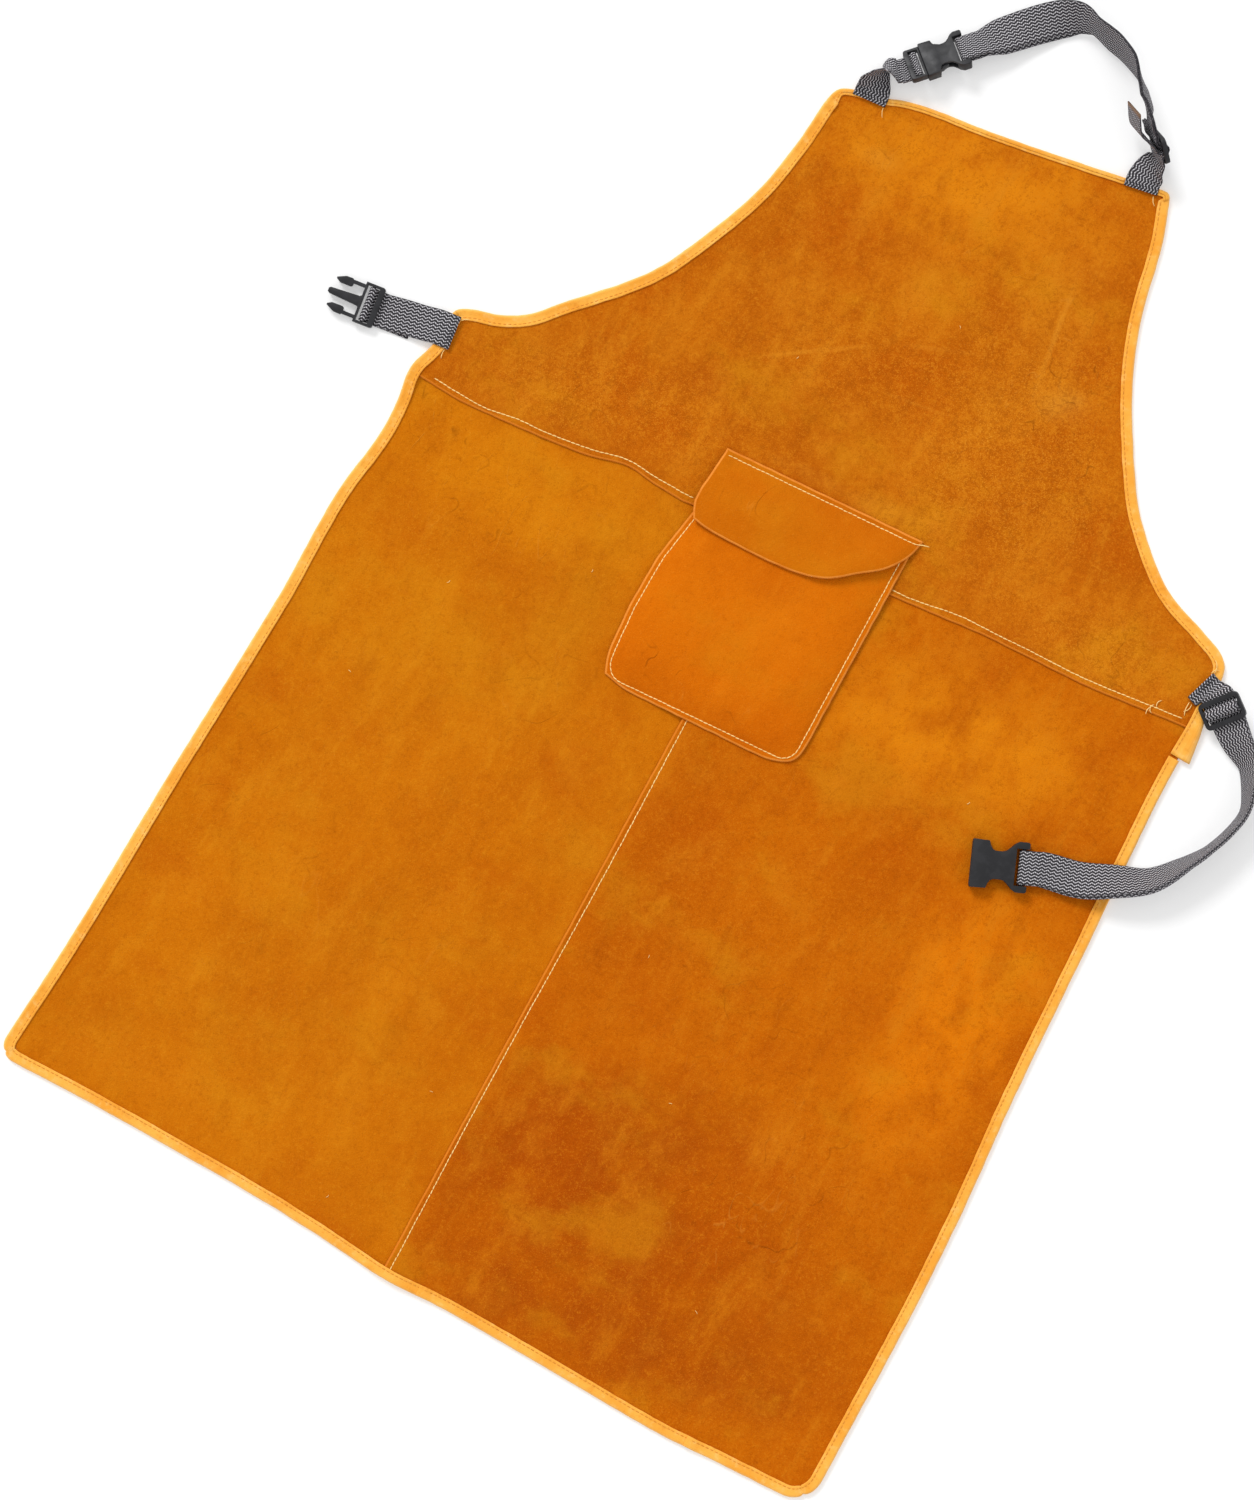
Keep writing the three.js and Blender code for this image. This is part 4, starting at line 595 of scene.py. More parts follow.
# %% Seam lines
SEAM_ROWS = [
    (-0.520, -0.022), (-0.394, -0.028), (-0.335, -0.020), (-0.217, -0.009), (-0.123, -0.002),
    (0.000, 0.000), (0.143, 0.013), (0.240, 0.025), (0.350, 0.028), (0.560, 0.045),
]
seam_x = [row[0] * WAIST_WIDTH for row in SEAM_ROWS]
seam_y = [row[1] * WAIST_WIDTH for row in SEAM_ROWS]


def waist_seam(x):
    i = 0
    while i < len(seam_x) - 2 and x > seam_x[i + 1]:
        i += 1
    share = (x - seam_x[i]) / (seam_x[i + 1] - seam_x[i])
    return seam_y[i] + (seam_y[i + 1] - seam_y[i]) * ease(share)


print("waist seam at the sides:", round(waist_seam(-309), 1), round(waist_seam(343), 1))

# %% [markdown]
# A panel is a flat piece of hide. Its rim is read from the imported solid, its facets are eased
# away, and the knife's small wobble is added. The inside is filled with triangles a few
# millimetres wide, closer together along the seams, because a sewn seam pulls a groove into
# the leather. A narrow slanted strip round the rim is the pale cut edge.


# %% A leather panel
def within(polygon, spots):
    x, y = spots[:, 0], spots[:, 1]
    inside = np.zeros(len(spots), bool)
    for (x0, y0), (x1, y1) in zip(polygon, np.roll(polygon, -1, 0)):
        crossed = (y0 > y) != (y1 > y)
        at = (x1 - x0) * (y - y0) / (y1 - y0 if y1 != y0 else 1e-9) + x0
        inside ^= crossed & (x < at)
    return inside


def tree_of(points):
    tree = kdtree.KDTree(len(points))
    for i, p in enumerate(points):
        tree.insert((p[0], p[1], 0), i)
    tree.balance()
    return tree


def distance_to(tree, spots):
    return np.array([tree.find((x, y, 0))[2] for x, y in spots])


def fill(ring, extra):
    """Triangles that fill a ring, using the extra points; gives points, triangles, ring places."""
    spots = [Vector(p) for p in ring] + [Vector(p) for p in extra]
    sides = [(i, (i + 1) % len(ring)) for i in range(len(ring))]
    made = geometry.delaunay_2d_cdt(spots, sides, [list(range(len(ring)))], 1, 1e-4, True)
    where = {}
    for i, sources in enumerate(made[3]):
        for source in sources:
            where[source] = i
    points = np.array([tuple(p) for p in made[0]])
    triangles = np.array(made[2])
    kept = triangles[within(ring, points[triangles].mean(1))]
    return points, kept.tolist(), [where[i] for i in range(len(ring))]


def eased_heights(heights, triangles, passes):
    pairs = np.array([(t[k], t[(k + 1) % 3]) for t in triangles for k in range(3)])
    count = np.zeros(len(heights))
    np.add.at(count, pairs[:, 0], 1)
    for _ in range(passes):
        total = np.zeros(len(heights))
        np.add.at(total, pairs[:, 0], heights[pairs[:, 1]])
        heights = heights * 0.4 + 0.6 * total / np.maximum(count, 1)
    return heights


def along_segment(spots, x0, y0, x1, y1):
    """Each spot's distance from a straight crease, and how near it is to the crease's ends."""
    start, run = np.array([x0, y0]), np.array([x1 - x0, y1 - y0])
    share = ((spots - start) @ run / (run @ run)).clip(0, 1)
    away = np.linalg.norm(spots - start - share[:, None] * run, axis=1)
    return away, np.sin(share * math.pi) ** 0.5


def leather_panel(node, dyes, rows=(), creases=(), pitch=4.2, relief=0.35, sharp=38, back=0.0):
    side = Surface(*cad_arrays(node))
    rim = rounded(side.rim(), 2.6, 10, True, sharp)
    seed = len(node) * 1.7
    wobble = [noise.noise(Vector((x / 9, y / 9, seed))) * 0.30 for x, y in rim]
    rim = rim + (inside_offset(rim, 1) - rim) * (np.array(wobble)[:, None] + back)
    ring = inside_offset(rim, 1.5)

    low, high = ring.min(0), ring.max(0)
    dice = random.Random(7)
    grid = []
    for j, y in enumerate(np.arange(low[1], high[1], pitch * 0.866)):
        for x in np.arange(low[0] + (j % 2) * pitch / 2, high[0], pitch):
            grid.append((x + dice.uniform(-0.5, 0.5), y + dice.uniform(-0.5, 0.5)))
    grid = np.array(grid)
    grid = grid[within(ring, grid)]
    grid = grid[distance_to(tree_of(ring), grid) > 2.2]
    beside = []
    seams = [resample(path, 1.5) for path in rows]
    if seams:
        seam_tree = tree_of(np.vstack(seams))
        grid = grid[distance_to(seam_tree, grid) > 4.4]
        for path in seams:
            every = path[::2]
            for offset in (-3, -1.5, 0, 1.5, 3):
                beside.extend(inside_offset(every, offset)[1:-1])
        beside = np.array(beside)
        beside = beside[within(ring, beside)]
        beside = beside[distance_to(tree_of(ring), beside) > 1.6]
        grid = np.vstack([grid, beside])
    flat, triangles, places = fill(ring, grid)

    height = np.array([side.height(x, y) for x, y in flat])
    height = eased_heights(height, triangles, 14)
    from_rim = distance_to(tree_of(rim), flat)
    calm = np.clip((from_rim - 10) / 25, 0, 1)
    if seams:
        from_seam = distance_to(seam_tree, flat)
        height -= 0.55 * np.exp(-((from_seam / 1.7) ** 2))
        calm *= np.clip((from_seam - 6) / 20, 0, 1)
    for k, (size, much) in enumerate(((34, relief), (13, relief * 0.4))):
        height += calm * much * np.array(
            [noise.noise(Vector((x / size, y / size, seed + 3 * k))) for x, y in flat]
        )
    for x0, y0, x1, y1, depth, wide in creases:
        away, ends = along_segment(flat, x0, y0, x1, y1)
        bend = np.array([noise.noise(Vector((x / 16, y / 16, 2.2))) * 3 for x, y in flat])
        height -= ends * depth * np.exp(-(((away + bend) / wide) ** 2))

    rim_height = np.array([height[i] for i in places])
    size, count = len(flat), len(ring)
    points = np.vstack([np.c_[flat, height], np.c_[flat, height - LEATHER]])
    faces = [tuple(t) for t in triangles] + [tuple(size + i for i in reversed(t)) for t in triangles]
    slots = [0] * len(faces)
    steps = ((0.62, 0.22), (0.0, 0.85), (0.0, 1.35), (0.5, LEATHER))
    bands = [places]
    for inset, down in steps:
        start = len(points)
        ring_points = inside_offset(rim, inset)
        points = np.vstack([points, np.c_[ring_points, rim_height - down]])
        bands.append(list(range(start, start + count)))
    bands.append([size + i for i in places])
    for level, (upper, lower) in enumerate(zip(bands, bands[1:])):
        for i in range(count):
            k = (i + 1) % count
            faces.append((upper[i], lower[i], lower[k], upper[k]))
            slots.append(1 if level < 3 else 0)
    panel = make_mesh(node + "_leather", points, faces, dyes, (node,), True, slots)
    top = Surface(points[:size], [tuple(t) for t in triangles], 1, -2)
    under = Surface(points[size:2 * size], [tuple(reversed(t)) for t in triangles], -1, -2)
    x, y = rim[:, 0], rim[:, 1]
    area = abs(np.sum(x * np.roll(y, -1) - np.roll(x, -1) * y)) / 2
    wide, long = rim.max(0) - rim.min(0)
    print(node, "triangles:", len(faces), "area cm2:", round(area / 100))
    return {"piece": panel, "top": top, "under": under, "area": area, "flat": (wide, long), "rim": rim}


# %% [markdown]
# Five pieces of hide are cut. The right skirt panel laps over the left one at the centre, the
# bib laps over both at the waist, and the pocket and its flap lie on top of the bib.

# %% Cut the panels
waist_path = [(x, waist_seam(x)) for x in np.arange(-306, 345, 6)]
centre_path = [(0.6 * math.sin(y / 60) - 0.6, y) for y in np.arange(-638, 6, 6)]

POCKET_WIDTH, POCKET_HEIGHT, POCKET_ASIDE, POCKET_TOP = 169, 188, 5, 33
POCKET_ROUND, POCKET_SLANT, MOUTH_DIP = 17, 7, 9
FLAP_WIDTH, FLAP_ASIDE, FLAP_TOP, FLAP_DROP = 167, 10, 44, 64
pocket_left, pocket_right = POCKET_ASIDE - POCKET_WIDTH / 2, POCKET_ASIDE + POCKET_WIDTH / 2
flap_left = FLAP_ASIDE - FLAP_WIDTH / 2


def pocket_slant(x):
    return POCKET_SLANT * ((x - pocket_left) / POCKET_WIDTH - 0.5)


def corner(cx, cy, radius, start, end, count=7):
    angles = np.radians(np.linspace(start, end, count))
    return [(cx + radius * math.cos(a), cy + radius * math.sin(a)) for a in angles]


IN = 4.6
floor_left = POCKET_TOP - POCKET_HEIGHT + pocket_slant(pocket_left)
floor_right = POCKET_TOP - POCKET_HEIGHT + pocket_slant(pocket_right)
pocket_path = (
    [(pocket_left + IN, POCKET_TOP + pocket_slant(pocket_left) - 3)]
    + corner(pocket_left + POCKET_ROUND, floor_left + POCKET_ROUND, POCKET_ROUND - IN, 180, 270)
    + corner(pocket_right - POCKET_ROUND, floor_right + POCKET_ROUND, POCKET_ROUND - IN, 270, 360)
    + [(pocket_right - IN, POCKET_TOP + pocket_slant(pocket_right) - 3)]
)
flap_path = [
    (flap_left + 3.5, FLAP_TOP - 4.6),
    (flap_left + FLAP_WIDTH - 3.5, FLAP_TOP + 0.13 * FLAP_DROP - 4.8),
]

skirt_left = leather_panel(
    "skirt_left", (left_suede, nap_edge), (centre_path,),
    [(-308, -20, -266, -60, 1.1, 3.0), (-212, 2, -186, -44, 0.6, 2.5), (-196, -20, -150, -62, 0.5, 3)],
)
skirt_right = leather_panel(
    "skirt_right", (right_suede, nap_edge), (centre_path,),
    [(176, -452, 214, -498, 0.9, 2.6), (206, -478, 226, -444, 0.7, 2.4), (214, -498, 246, -520, 0.5, 3)],
)
bib = leather_panel(
    "bib", (bib_suede, nap_edge), (waist_path,),
    [(-66, 262, 128, 270, 0.5, 2.5), (108, 110, 112, 268, 0.5, 3), (60, 180, 190, 150, 0.4, 4)],
)
pocket = leather_panel(
    "pocket", (pocket_suede, cut_edge), (pocket_path,), pitch=3.2, relief=0.7,
)
flap = leather_panel(
    "pocket_flap", (flap_suede, cut_edge), (flap_path,), pitch=3.2, relief=0.6,
)


# %% [markdown]
# The pocket was pulled while it was sewn. Its left side bows out below and runs in under the
# flap above, and the flap's left side bows out over it. The bib's lower edge has a low hump
# left of the pocket. These pulls move the visual leather by a few millimetres and fade out.

# %% Pull the pocket, its flap and the bib's edge into line


class Pulled:
    """A side of a sheet that was pulled sideways after its heights were found."""

    def __init__(self, side, pull):
        self.side, self.pull = side, pull

    def height(self, x, y):
        right, up = self.pull(x, y)
        return self.side.height(x - right, y - up)


def pull_of(rows, left, reach):
    """rows hold (y, mm to the right) along the left side; the pull fades over the reach."""
    levels, much = zip(*sorted(rows))

    def pull(x, y):
        share = min(1.0, max(0.0, 1 - (x - left) / reach))
        return float(np.interp(y, levels, much)) * share * share * (3 - 2 * share), 0.0

    return pull


def waist_pull(x, y):
    """The bib's lower edge rises in a low hump left of the pocket and dips beside it."""
    share = min(1.0, max(0.0, 1 - (y - waist_seam(x)) / 60))
    hump = 5.2 * math.exp(-(((x + 134) / 20) ** 2)) - 1.4 * math.exp(-(((x + 84) / 12) ** 2))
    return 0.0, hump * share * share * (3 - 2 * share)


def pulled(path, pull):
    return [(x + pull(x, y)[0], y + pull(x, y)[1]) for x, y in path]


def pull_panel(panel, pull):
    for vertex in panel["piece"].data.vertices:
        x, y = vertex.co.x / MM, vertex.co.y / MM
        right, up = pull(x, y)
        vertex.co.x += right * MM
        vertex.co.y += up * MM
    panel["piece"].data.update()
    panel["top"] = Pulled(panel["top"], pull)
    panel["under"] = Pulled(panel["under"], pull)


pocket_pull = pull_of(
    [(-160, 0.5), (-148, 1.2), (-132, -0.6), (-97, -2.8), (-55, -1.6), (-25, 3.6), (-8, 6.8), (6, 9.0), (34, 9.5)],
    pocket_left, 90,
)
flap_pull = pull_of([(-22, 0.6), (-14, -1.4), (-4, -4.0), (8, -3.8), (22, -2.0), (40, 0.0)], flap_left, 60)
pull_panel(pocket, pocket_pull)
pull_panel(flap, flap_pull)
pull_panel(bib, waist_pull)
pocket_row = pulled(resample(pocket_path, 4), pocket_pull)
waist_row = pulled(waist_path, waist_pull)
print("pulled by mm, pocket, flap and bib:", pocket_pull(pocket_left, 30)[0], flap_pull(flap_left, 0)[0],
      round(waist_pull(-134, -20)[1], 1))

# %% [markdown]
# The whole rim is bound with golden tape, folded over the edge and sewn through. The outline
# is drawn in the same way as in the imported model: from corner to corner, with rows of shares
# along each straight line and out from it. Corners are eased, as tape can't fold sharply.

# %% The outline
CORNERS = {
    "waist_left": (-0.474 * WAIST_WIDTH, 0.105 * BIB_LENGTH),
    "hem_left": (-0.484 * HEM_WIDTH, -0.984 * SKIRT_LENGTH),
    "hem_right": (0.517 * HEM_WIDTH, -0.998 * SKIRT_LENGTH),
    "waist_right": (0.527 * WAIST_WIDTH, 0.222 * BIB_LENGTH),
    "bib_right": (0.503 * BIB_TOP_WIDTH, 1.065 * BIB_LENGTH),
    "bib_left": (-0.496 * BIB_TOP_WIDTH, 0.923 * BIB_LENGTH),
}
EDGES = {
    "left_side": ("waist_left", "hem_left", [
        (0.049, 0.000), (0.083, 0.008), (0.125, 0.000), (0.173, -0.002), (0.235, 0.004),
        (0.300, 0.003), (0.379, -0.001), (0.614, -0.001), (0.850, -0.003), (0.970, 0.000),
    ]),
    "hem": ("hem_left", "hem_right", [
        (0.030, -0.001), (0.124, -0.003), (0.318, -0.002), (0.401, 0.002), (0.484, 0.008),
        (0.560, 0.005), (0.705, 0.007), (0.815, 0.009), (0.898, 0.005), (0.960, 0.002),
    ]),
    "right_side": ("hem_right", "waist_right", [
        (0.070, 0.003), (0.234, 0.008), (0.350, 0.008), (0.480, 0.003), (0.644, 0.001),
        (0.781, -0.001), (0.863, -0.001), (0.930, 0.003), (0.980, 0.003),
    ]),
    "right_armhole": ("waist_right", "bib_right", [
        (0.028, -0.007), (0.076, -0.038), (0.172, -0.102), (0.308, -0.138), (0.394, -0.144),
        (0.604, -0.127), (0.752, -0.089), (0.893, -0.030),
    ]),
    "bib_top": ("bib_right", "bib_left", [
        (0.128, 0.001), (0.350, 0.004), (0.576, 0.011), (0.724, 0.022), (0.800, 0.021),
        (0.860, 0.011), (0.950, 0.009),
    ]),
    "left_armhole": ("bib_left", "waist_left", [
        (0.038, -0.010), (0.140, -0.060), (0.281, -0.112), (0.503, -0.147), (0.610, -0.144),
        (0.776, -0.110), (0.862, -0.093), (0.919, -0.062), (0.963, -0.021),
    ]),
}


def edge_point(name, along):
    start, end, rows = EDGES[name]
    start, end = np.array(CORNERS[start]), np.array(CORNERS[end])
    chord = end - start
    knots = [(0, 0), *rows, (1, 0)]
    i = 0
    while i < len(knots) - 2 and along > knots[i + 1][0]:
        i += 1

    def slope(k):
        before, after = knots[max(0, k - 1)], knots[min(len(knots) - 1, k + 1)]
        return (after[1] - before[1]) / (after[0] - before[0])

    span = knots[i + 1][0] - knots[i][0]
    s = (along - knots[i][0]) / span
    out = (
        knots[i][1] * (1 + 2 * s) * (1 - s) ** 2 + knots[i + 1][1] * s * s * (3 - 2 * s)
        + slope(i) * span * s * (1 - s) ** 2 - slope(i + 1) * span * s * s * (1 - s)
    )
    return start + chord * along + np.array([chord[1], -chord[0]]) * out


RING_STEP = 2.0
outline, corner_places = [], {}
for name in EDGES:
    corner_places[name] = len(outline)
    outline.extend(edge_point(name, a) for a in np.linspace(0, 1, 120)[:-1])
outline = resample(outline, RING_STEP, True)
for _ in range(7):
    outline = (np.roll(outline, 1, 0) + np.roll(outline, -1, 0)) / 4 + outline / 2
travel = np.roll(outline, -1, 0) - np.roll(outline, 1, 0)
travel /= np.linalg.norm(travel, axis=1, keepdims=True)
inward = np.stack([-travel[:, 1], travel[:, 0]], 1)
for _ in range(34):
    inward = (np.roll(inward, 1, 0) + np.roll(inward, -1, 0)) / 4 + inward / 2
inward /= np.linalg.norm(inward, axis=1, keepdims=True)


def outline_place(spot):
    return int(np.argmin(np.linalg.norm(outline - np.array(spot), axis=1)))


print("outline rings:", len(outline), "mm round:", round(len(outline) * RING_STEP))

# %% [markdown]
# Thread is drawn as short capsules that dip into the cloth or hide at both ends, with a slight
# slant from one to the next, as a lockstitch leaves them.


# %% Thread
def capsule(points, faces, a, b, up, radius, sides=6, rings=5, flat=0.75):
    """Adds one stitch from a to b, arched over its middle, to a list of points and faces."""
    a, b, up = np.array(a), np.array(b), np.array(up)
    run = b - a
    across = np.cross(up, run)
    across /= max(1e-9, np.linalg.norm(across))
    start = len(points)
    for i in range(rings):
        share = i / (rings - 1)
        bulge = math.sin(math.pi * min(max(share, 0.06), 0.94)) ** 0.4
        middle = a + run * share + up * radius * (1.25 * bulge - 0.9)
        for j in range(sides):
            turn = math.tau * j / sides
            points.append(
                middle + across * radius * bulge * math.cos(turn) + up * radius * flat * bulge * math.sin(turn)
            )
    for i in range(rings - 1):
        for j in range(sides):
            k = (j + 1) % sides
            faces.append((start + i * sides + j, start + i * sides + k,
                          start + (i + 1) * sides + k, start + (i + 1) * sides + j))
    faces.append(tuple(start + j for j in reversed(range(sides))))
    faces.append(tuple(start + (rings - 1) * sides + j for j in range(sides)))


def sew(path, top, points, faces, pitch=3.9, length=3.75, radius=0.46, up=1, slant=0.12, seed=1):
    """Stitches along a path in plan, laid on a surface; up is -1 for the underside."""
    dice = random.Random(seed)
    spots = resample(path, pitch)
    for p, q in zip(spots, spots[1:]):
        run = (q - p) / np.linalg.norm(q - p)
        aside = np.array([-run[1], run[0]])
        middle = (p + q) / 2 + aside * dice.uniform(-0.12, 0.12)
        half = length / 2 * dice.uniform(0.92, 1.06)
        ends = [middle - run * half - aside * slant, middle + run * half + aside * slant]
        high = [top.height(x, y) + 0.10 * up for x, y in ends]
        capsule(points, faces, (*ends[0], high[0]), (*ends[1], high[1]), (0, 0, up), radius)


def thread_dye(name, colour, dark):
    dye = Dye(name)
    where = dye.place()
    ply = dye.cloud(where, 1900, 2, 0.6)
    slow = dye.cloud(where, 120, 2, 0.5)
    shade = dye.blend(ply.ramp(0.4, 0.62) * 0.5, colour, dark)
    shade = dye.blend(slow.ramp(0.42, 0.64) * 0.35, shade, dark)
    return dye.finish(Base_Color=shade, Roughness=0.75, Specular_IOR_Level=0.2, Normal=dye.bump(ply, 0.0002, 0.5))


cream_thread = thread_dye("cream thread", paint(255, 224, 148), paint(226, 178, 98))
gold_thread = thread_dye("gold thread", paint(226, 150, 56), paint(188, 112, 30))
print("threads ready")

# %% [markdown]
# The tape is a woven cotton strip with faint ribs across it. Its outer fold is painted paler,
# a painted highlight along the rolled edge, and its inner edge is tucked under, which leaves
# a thin dark line against the hide. Each mesh point carries its place across and along the
# tape, in millimetres, for the weave.


# %% Tape cloth
def tape_dye():
    dye = Dye("golden tape")
    place = dye.node("ShaderNodeAttribute", {"attribute_name": "weave"})[1]
    across, along, _ = dye.node("ShaderNodeSeparateXYZ", None, {0: place})
    where = dye.place()
    slow = dye.cloud(where, 22, 3, 0.55)
    small = dye.cloud(where, 160, 4, 0.6)
    ribs = (along / 0.9).waves()
    lines = (across / 0.75).waves()
    rolled_fold_highlight = 1 - across.ramp(0.2, 2.6)
    colour = dye.blend(slow.ramp(0.38, 0.64), paint(247, 178, 74), paint(240, 161, 56))
    colour = dye.blend(small.ramp(0.5, 0.75) * 0.55, colour, paint(250, 200, 118))
    colour = dye.blend((1 - small.ramp(0.28, 0.44)) * 0.45, colour, paint(218, 134, 40))
    # Painted highlight: the rolled outer fold is painted paler.
    colour = dye.blend(rolled_fold_highlight * 0.55, colour, paint(252, 208, 138))
    colour = dye.blend(ribs * lines * 0.22, colour, paint(206, 126, 36))
    height = ribs * 0.5 + lines * 0.3 + small * 0.8
    return dye.finish(
        Base_Color=colour, Roughness=0.85, Specular_IOR_Level=0.1,
        Normal=dye.bump(height, 0.00035, 0.5),
    )


golden_tape = tape_dye()


def write_weave(piece, values):
    made = piece.data.attributes.new("weave", "FLOAT_VECTOR", "POINT")
    made.data.foreach_set("vector", np.array(values, np.float32).ravel())


print("tape cloth ready")

# %% [markdown]
# One section of the folded tape is swept along its run: under the hide, round the rim with a
# rolled fold, back over the hide and tucked under at the inner edge. Where two tapes meet,
# the later one starts a few millimetres over the end of the other.


# %% Bind the rim
def tape_section(cover, high, flare, lift):
    """Points (inward, height, across) of the folded tape, anticlockwise from its lower leg."""
    mid = high / 2
    upper = [
        (-0.1 - flare, mid + 0.2 * high, 0.4), (0.5 - flare * 0.8, high - 0.45, 1.2),
        (1.5 - flare * 0.6, high + 0.05, 2.2), (2.6, high - 0.05, 3.4), (3.6, high - 0.38, 4.4),
        (cover * 0.62, high - 0.30, 6.0), (cover - 2.3, high - 0.42, 7.2), (cover - 1.3, high - 0.10, 8.2),
        (cover - 0.35, high - 0.12, 9.2), (cover, high - 0.5, 9.8), (cover - 0.2, high - 0.95, 10.2),
    ]
    top = [(d, z + lift, a) for d, z, a in upper]
    low = [(d, high - z if k else 0.3 * high, -a) for k, (d, z, a) in enumerate(upper)]
    low = [(d, max(0.02, z), a) for d, z, a in low]
    inner = [(1.3 - flare * 0.5, high - 1.3, 5), (1.3 - flare * 0.5, 1.3, -5)]
    return [*reversed(low), (-0.25 - flare, mid, 0.0), *top, *inner]




def bind(node, start, end, covers, tail=0.0, over=0.0):
    count = len(outline)
    first, last = outline_place(start), outline_place(end)
    if last <= first:
        last += count
    places = [i % count for i in range(first - int(over / RING_STEP), last + 1)]
    side = Surface(*cad_arrays(node))
    heights = np.array([side.height(*(outline[i] + inward[i] * 3.2)) for i in places])
    for _ in range(10):
        heights[1:-1] = (heights[:-2] + heights[2:]) / 4 + heights[1:-1] / 2
    points, weave, sewn_top, sewn_low = [], [], [], []
    for k, i in enumerate(places):
        run = k * RING_STEP
        cover = covers(outline[i])
        flare = tail * max(0.0, 1 - run / 40) ** 0.8
        lift = 0.95 * (1 - ease((run - over) / 7)) if over else 0.0
        bumpy = noise.noise(Vector((outline[i][0] / 11, outline[i][1] / 11, 4.4)))
        fine = noise.noise(Vector((outline[i][0] / 3.2, outline[i][1] / 3.2, 9.1)))
        pucker = 0.10 * math.cos(math.tau * run / 3.9) + 0.16 * fine
        for j, (distance, z, across) in enumerate(tape_section(cover, heights[k], flare, lift)):
            edge = 0.30 * bumpy + 0.14 * fine if across > 8 or abs(across) < 2 else 0.0
            spot = outline[i] + inward[i] * (distance + edge)
            rise = pucker if 4 < across < 8.6 else 0.0
            points.append((*spot, z + rise))
            weave.append((abs(across), run, 1 if across > 0 else -1))
        if 3 < run < (len(places) - 2) * RING_STEP:
            sewn_top.append((*(outline[i] + inward[i] * (cover - 2.3)), heights[k] - 0.36 + lift))
            sewn_low.append((*(outline[i] + inward[i] * (cover - 2.3)), 0.38))
    size = len(points) // len(places)
    faces = []
    for i in range(len(places) - 1):
        for j in range(size):
            k = (j + 1) % size
            faces.append((i * size + k, i * size + j, (i + 1) * size + j, (i + 1) * size + k))
    faces.append(tuple(range(size)))
    faces.append(tuple((len(places) - 1) * size + j for j in reversed(range(size))))
    piece = make_mesh(node + "_tape", points, faces, (golden_tape,), (node,))
    write_weave(piece, weave)

    stitches, stitch_faces = [], []
    for path, up in ((resample(sewn_top, 3.9), 1), (resample(sewn_low, 3.9), -1)):
        for p, q in zip(path, path[1:]):
            capsule(stitches, stitch_faces, p + (q - p) * 0.12, p + (q - p) * 0.88, (0, 0, up), 0.34)
    make_mesh(node + "_stitches", stitches, stitch_faces, (gold_thread,), ())
    return piece


def full_cover(spot):
    return TAPE_COVER


def top_cover(spot):
    """The tape along the bib's top shows a narrower strip than the rest, and widens past it."""
    past = (CORNERS["bib_left"][0] - spot[0] + 2) / 6
    return TOP_COVER + (TAPE_COVER - TOP_COVER) * ease(past)


hem_joint, hem_second = (33.2, -644), (267.5, -640)
foot_right = edge_point("right_side", 0.868)
for along in np.linspace(0.8, 0.95, 300):
    if abs(edge_point("right_side", along)[1] - (waist_seam(343.6) - 30.5)) < 0.4:
        foot_right = edge_point("right_side", along)
top_right_end = edge_point("right_armhole", 0.994)
top_left_end = edge_point("left_armhole", 0.038)
left_tape = bind("binding_side_left", CORNERS["waist_left"], hem_joint, full_cover)
hem_tape = bind("binding_hem", hem_joint, hem_second, full_cover, over=6)
right_tape = bind("binding_side_right", hem_second, foot_right - (0, 0.6), full_cover, over=6)
armhole_right_tape = bind(
    "binding_armhole_right", foot_right + (0, 0.6), top_right_end, full_cover, tail=8,
)
top_tape = bind("binding_top", top_right_end, top_left_end, top_cover, over=5)
armhole_left_tape = bind("binding_armhole_left", top_left_end, CORNERS["waist_left"], full_cover, over=6)
print("tapes bound; foot of the lap at", foot_right.round(1))

# %% [markdown]
# Rows of stitches hold the panels together: one along the waist, one down the centre, round
# three sides of the pocket and along the top of its flap. The same rows show on the back.

# %% Sew the seams


def seam(name, path, top, under, seed, trims=(0, 0), both=True):
    path = resample(path, 1.0)
    path = path[trims[0]:len(path) - trims[1]]
    points, faces = [], []
    sew(path, top, points, faces, seed=seed)
    if both:
        sew(path, under, points, faces, up=-1, seed=seed + 1)
    return make_mesh(name, points, faces, (cream_thread,), ())


class Beneath:
    """The lower side of several sheets, whichever is lowest at a spot."""

    def __init__(self, *sides):
        self.sides = sides

    def height(self, x, y):
        return max(0.30, min(side.height(x, y) for side in self.sides))


left_of_flap = [p for p in waist_row if p[0] < pocket_left + 2]
right_of_flap = [p for p in waist_row if p[0] > pocket_right - 2]
skirts_under = Beneath(skirt_left["under"], skirt_right["under"])
waist_left_seam = seam("waist_seam_left", left_of_flap, bib["top"], skirts_under, 3, (9, 0))
waist_right_seam = seam("waist_seam_right", right_of_flap, bib["top"], skirts_under, 5, (0, 9))
centre_seam = seam("centre_seam", centre_path, skirt_right["top"], skirt_left["under"], 7, (2, 4))
pocket_seam = seam("pocket_seam", pocket_row, pocket["top"], skirts_under, 9)
flap_seam = seam("flap_seam", flap_path, flap["top"], bib["under"], 11)
print("stitched seams: 5")

# %% [markdown]
# The straps are 27 mm webbing. They follow the same routes through the buckles as in the
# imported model, so the frames of the buckles and the turns round their bars are repeated here
# as small matrices and lists of points.


# %% Buckle frames and ribbon stations
def turned_across(along, roll):
    lateral = Vector((-along.y, along.x, 0)).normalized()
    up = along.cross(lateral)
    roll = math.radians(roll)
    return lateral * math.cos(roll) + up * math.sin(roll)


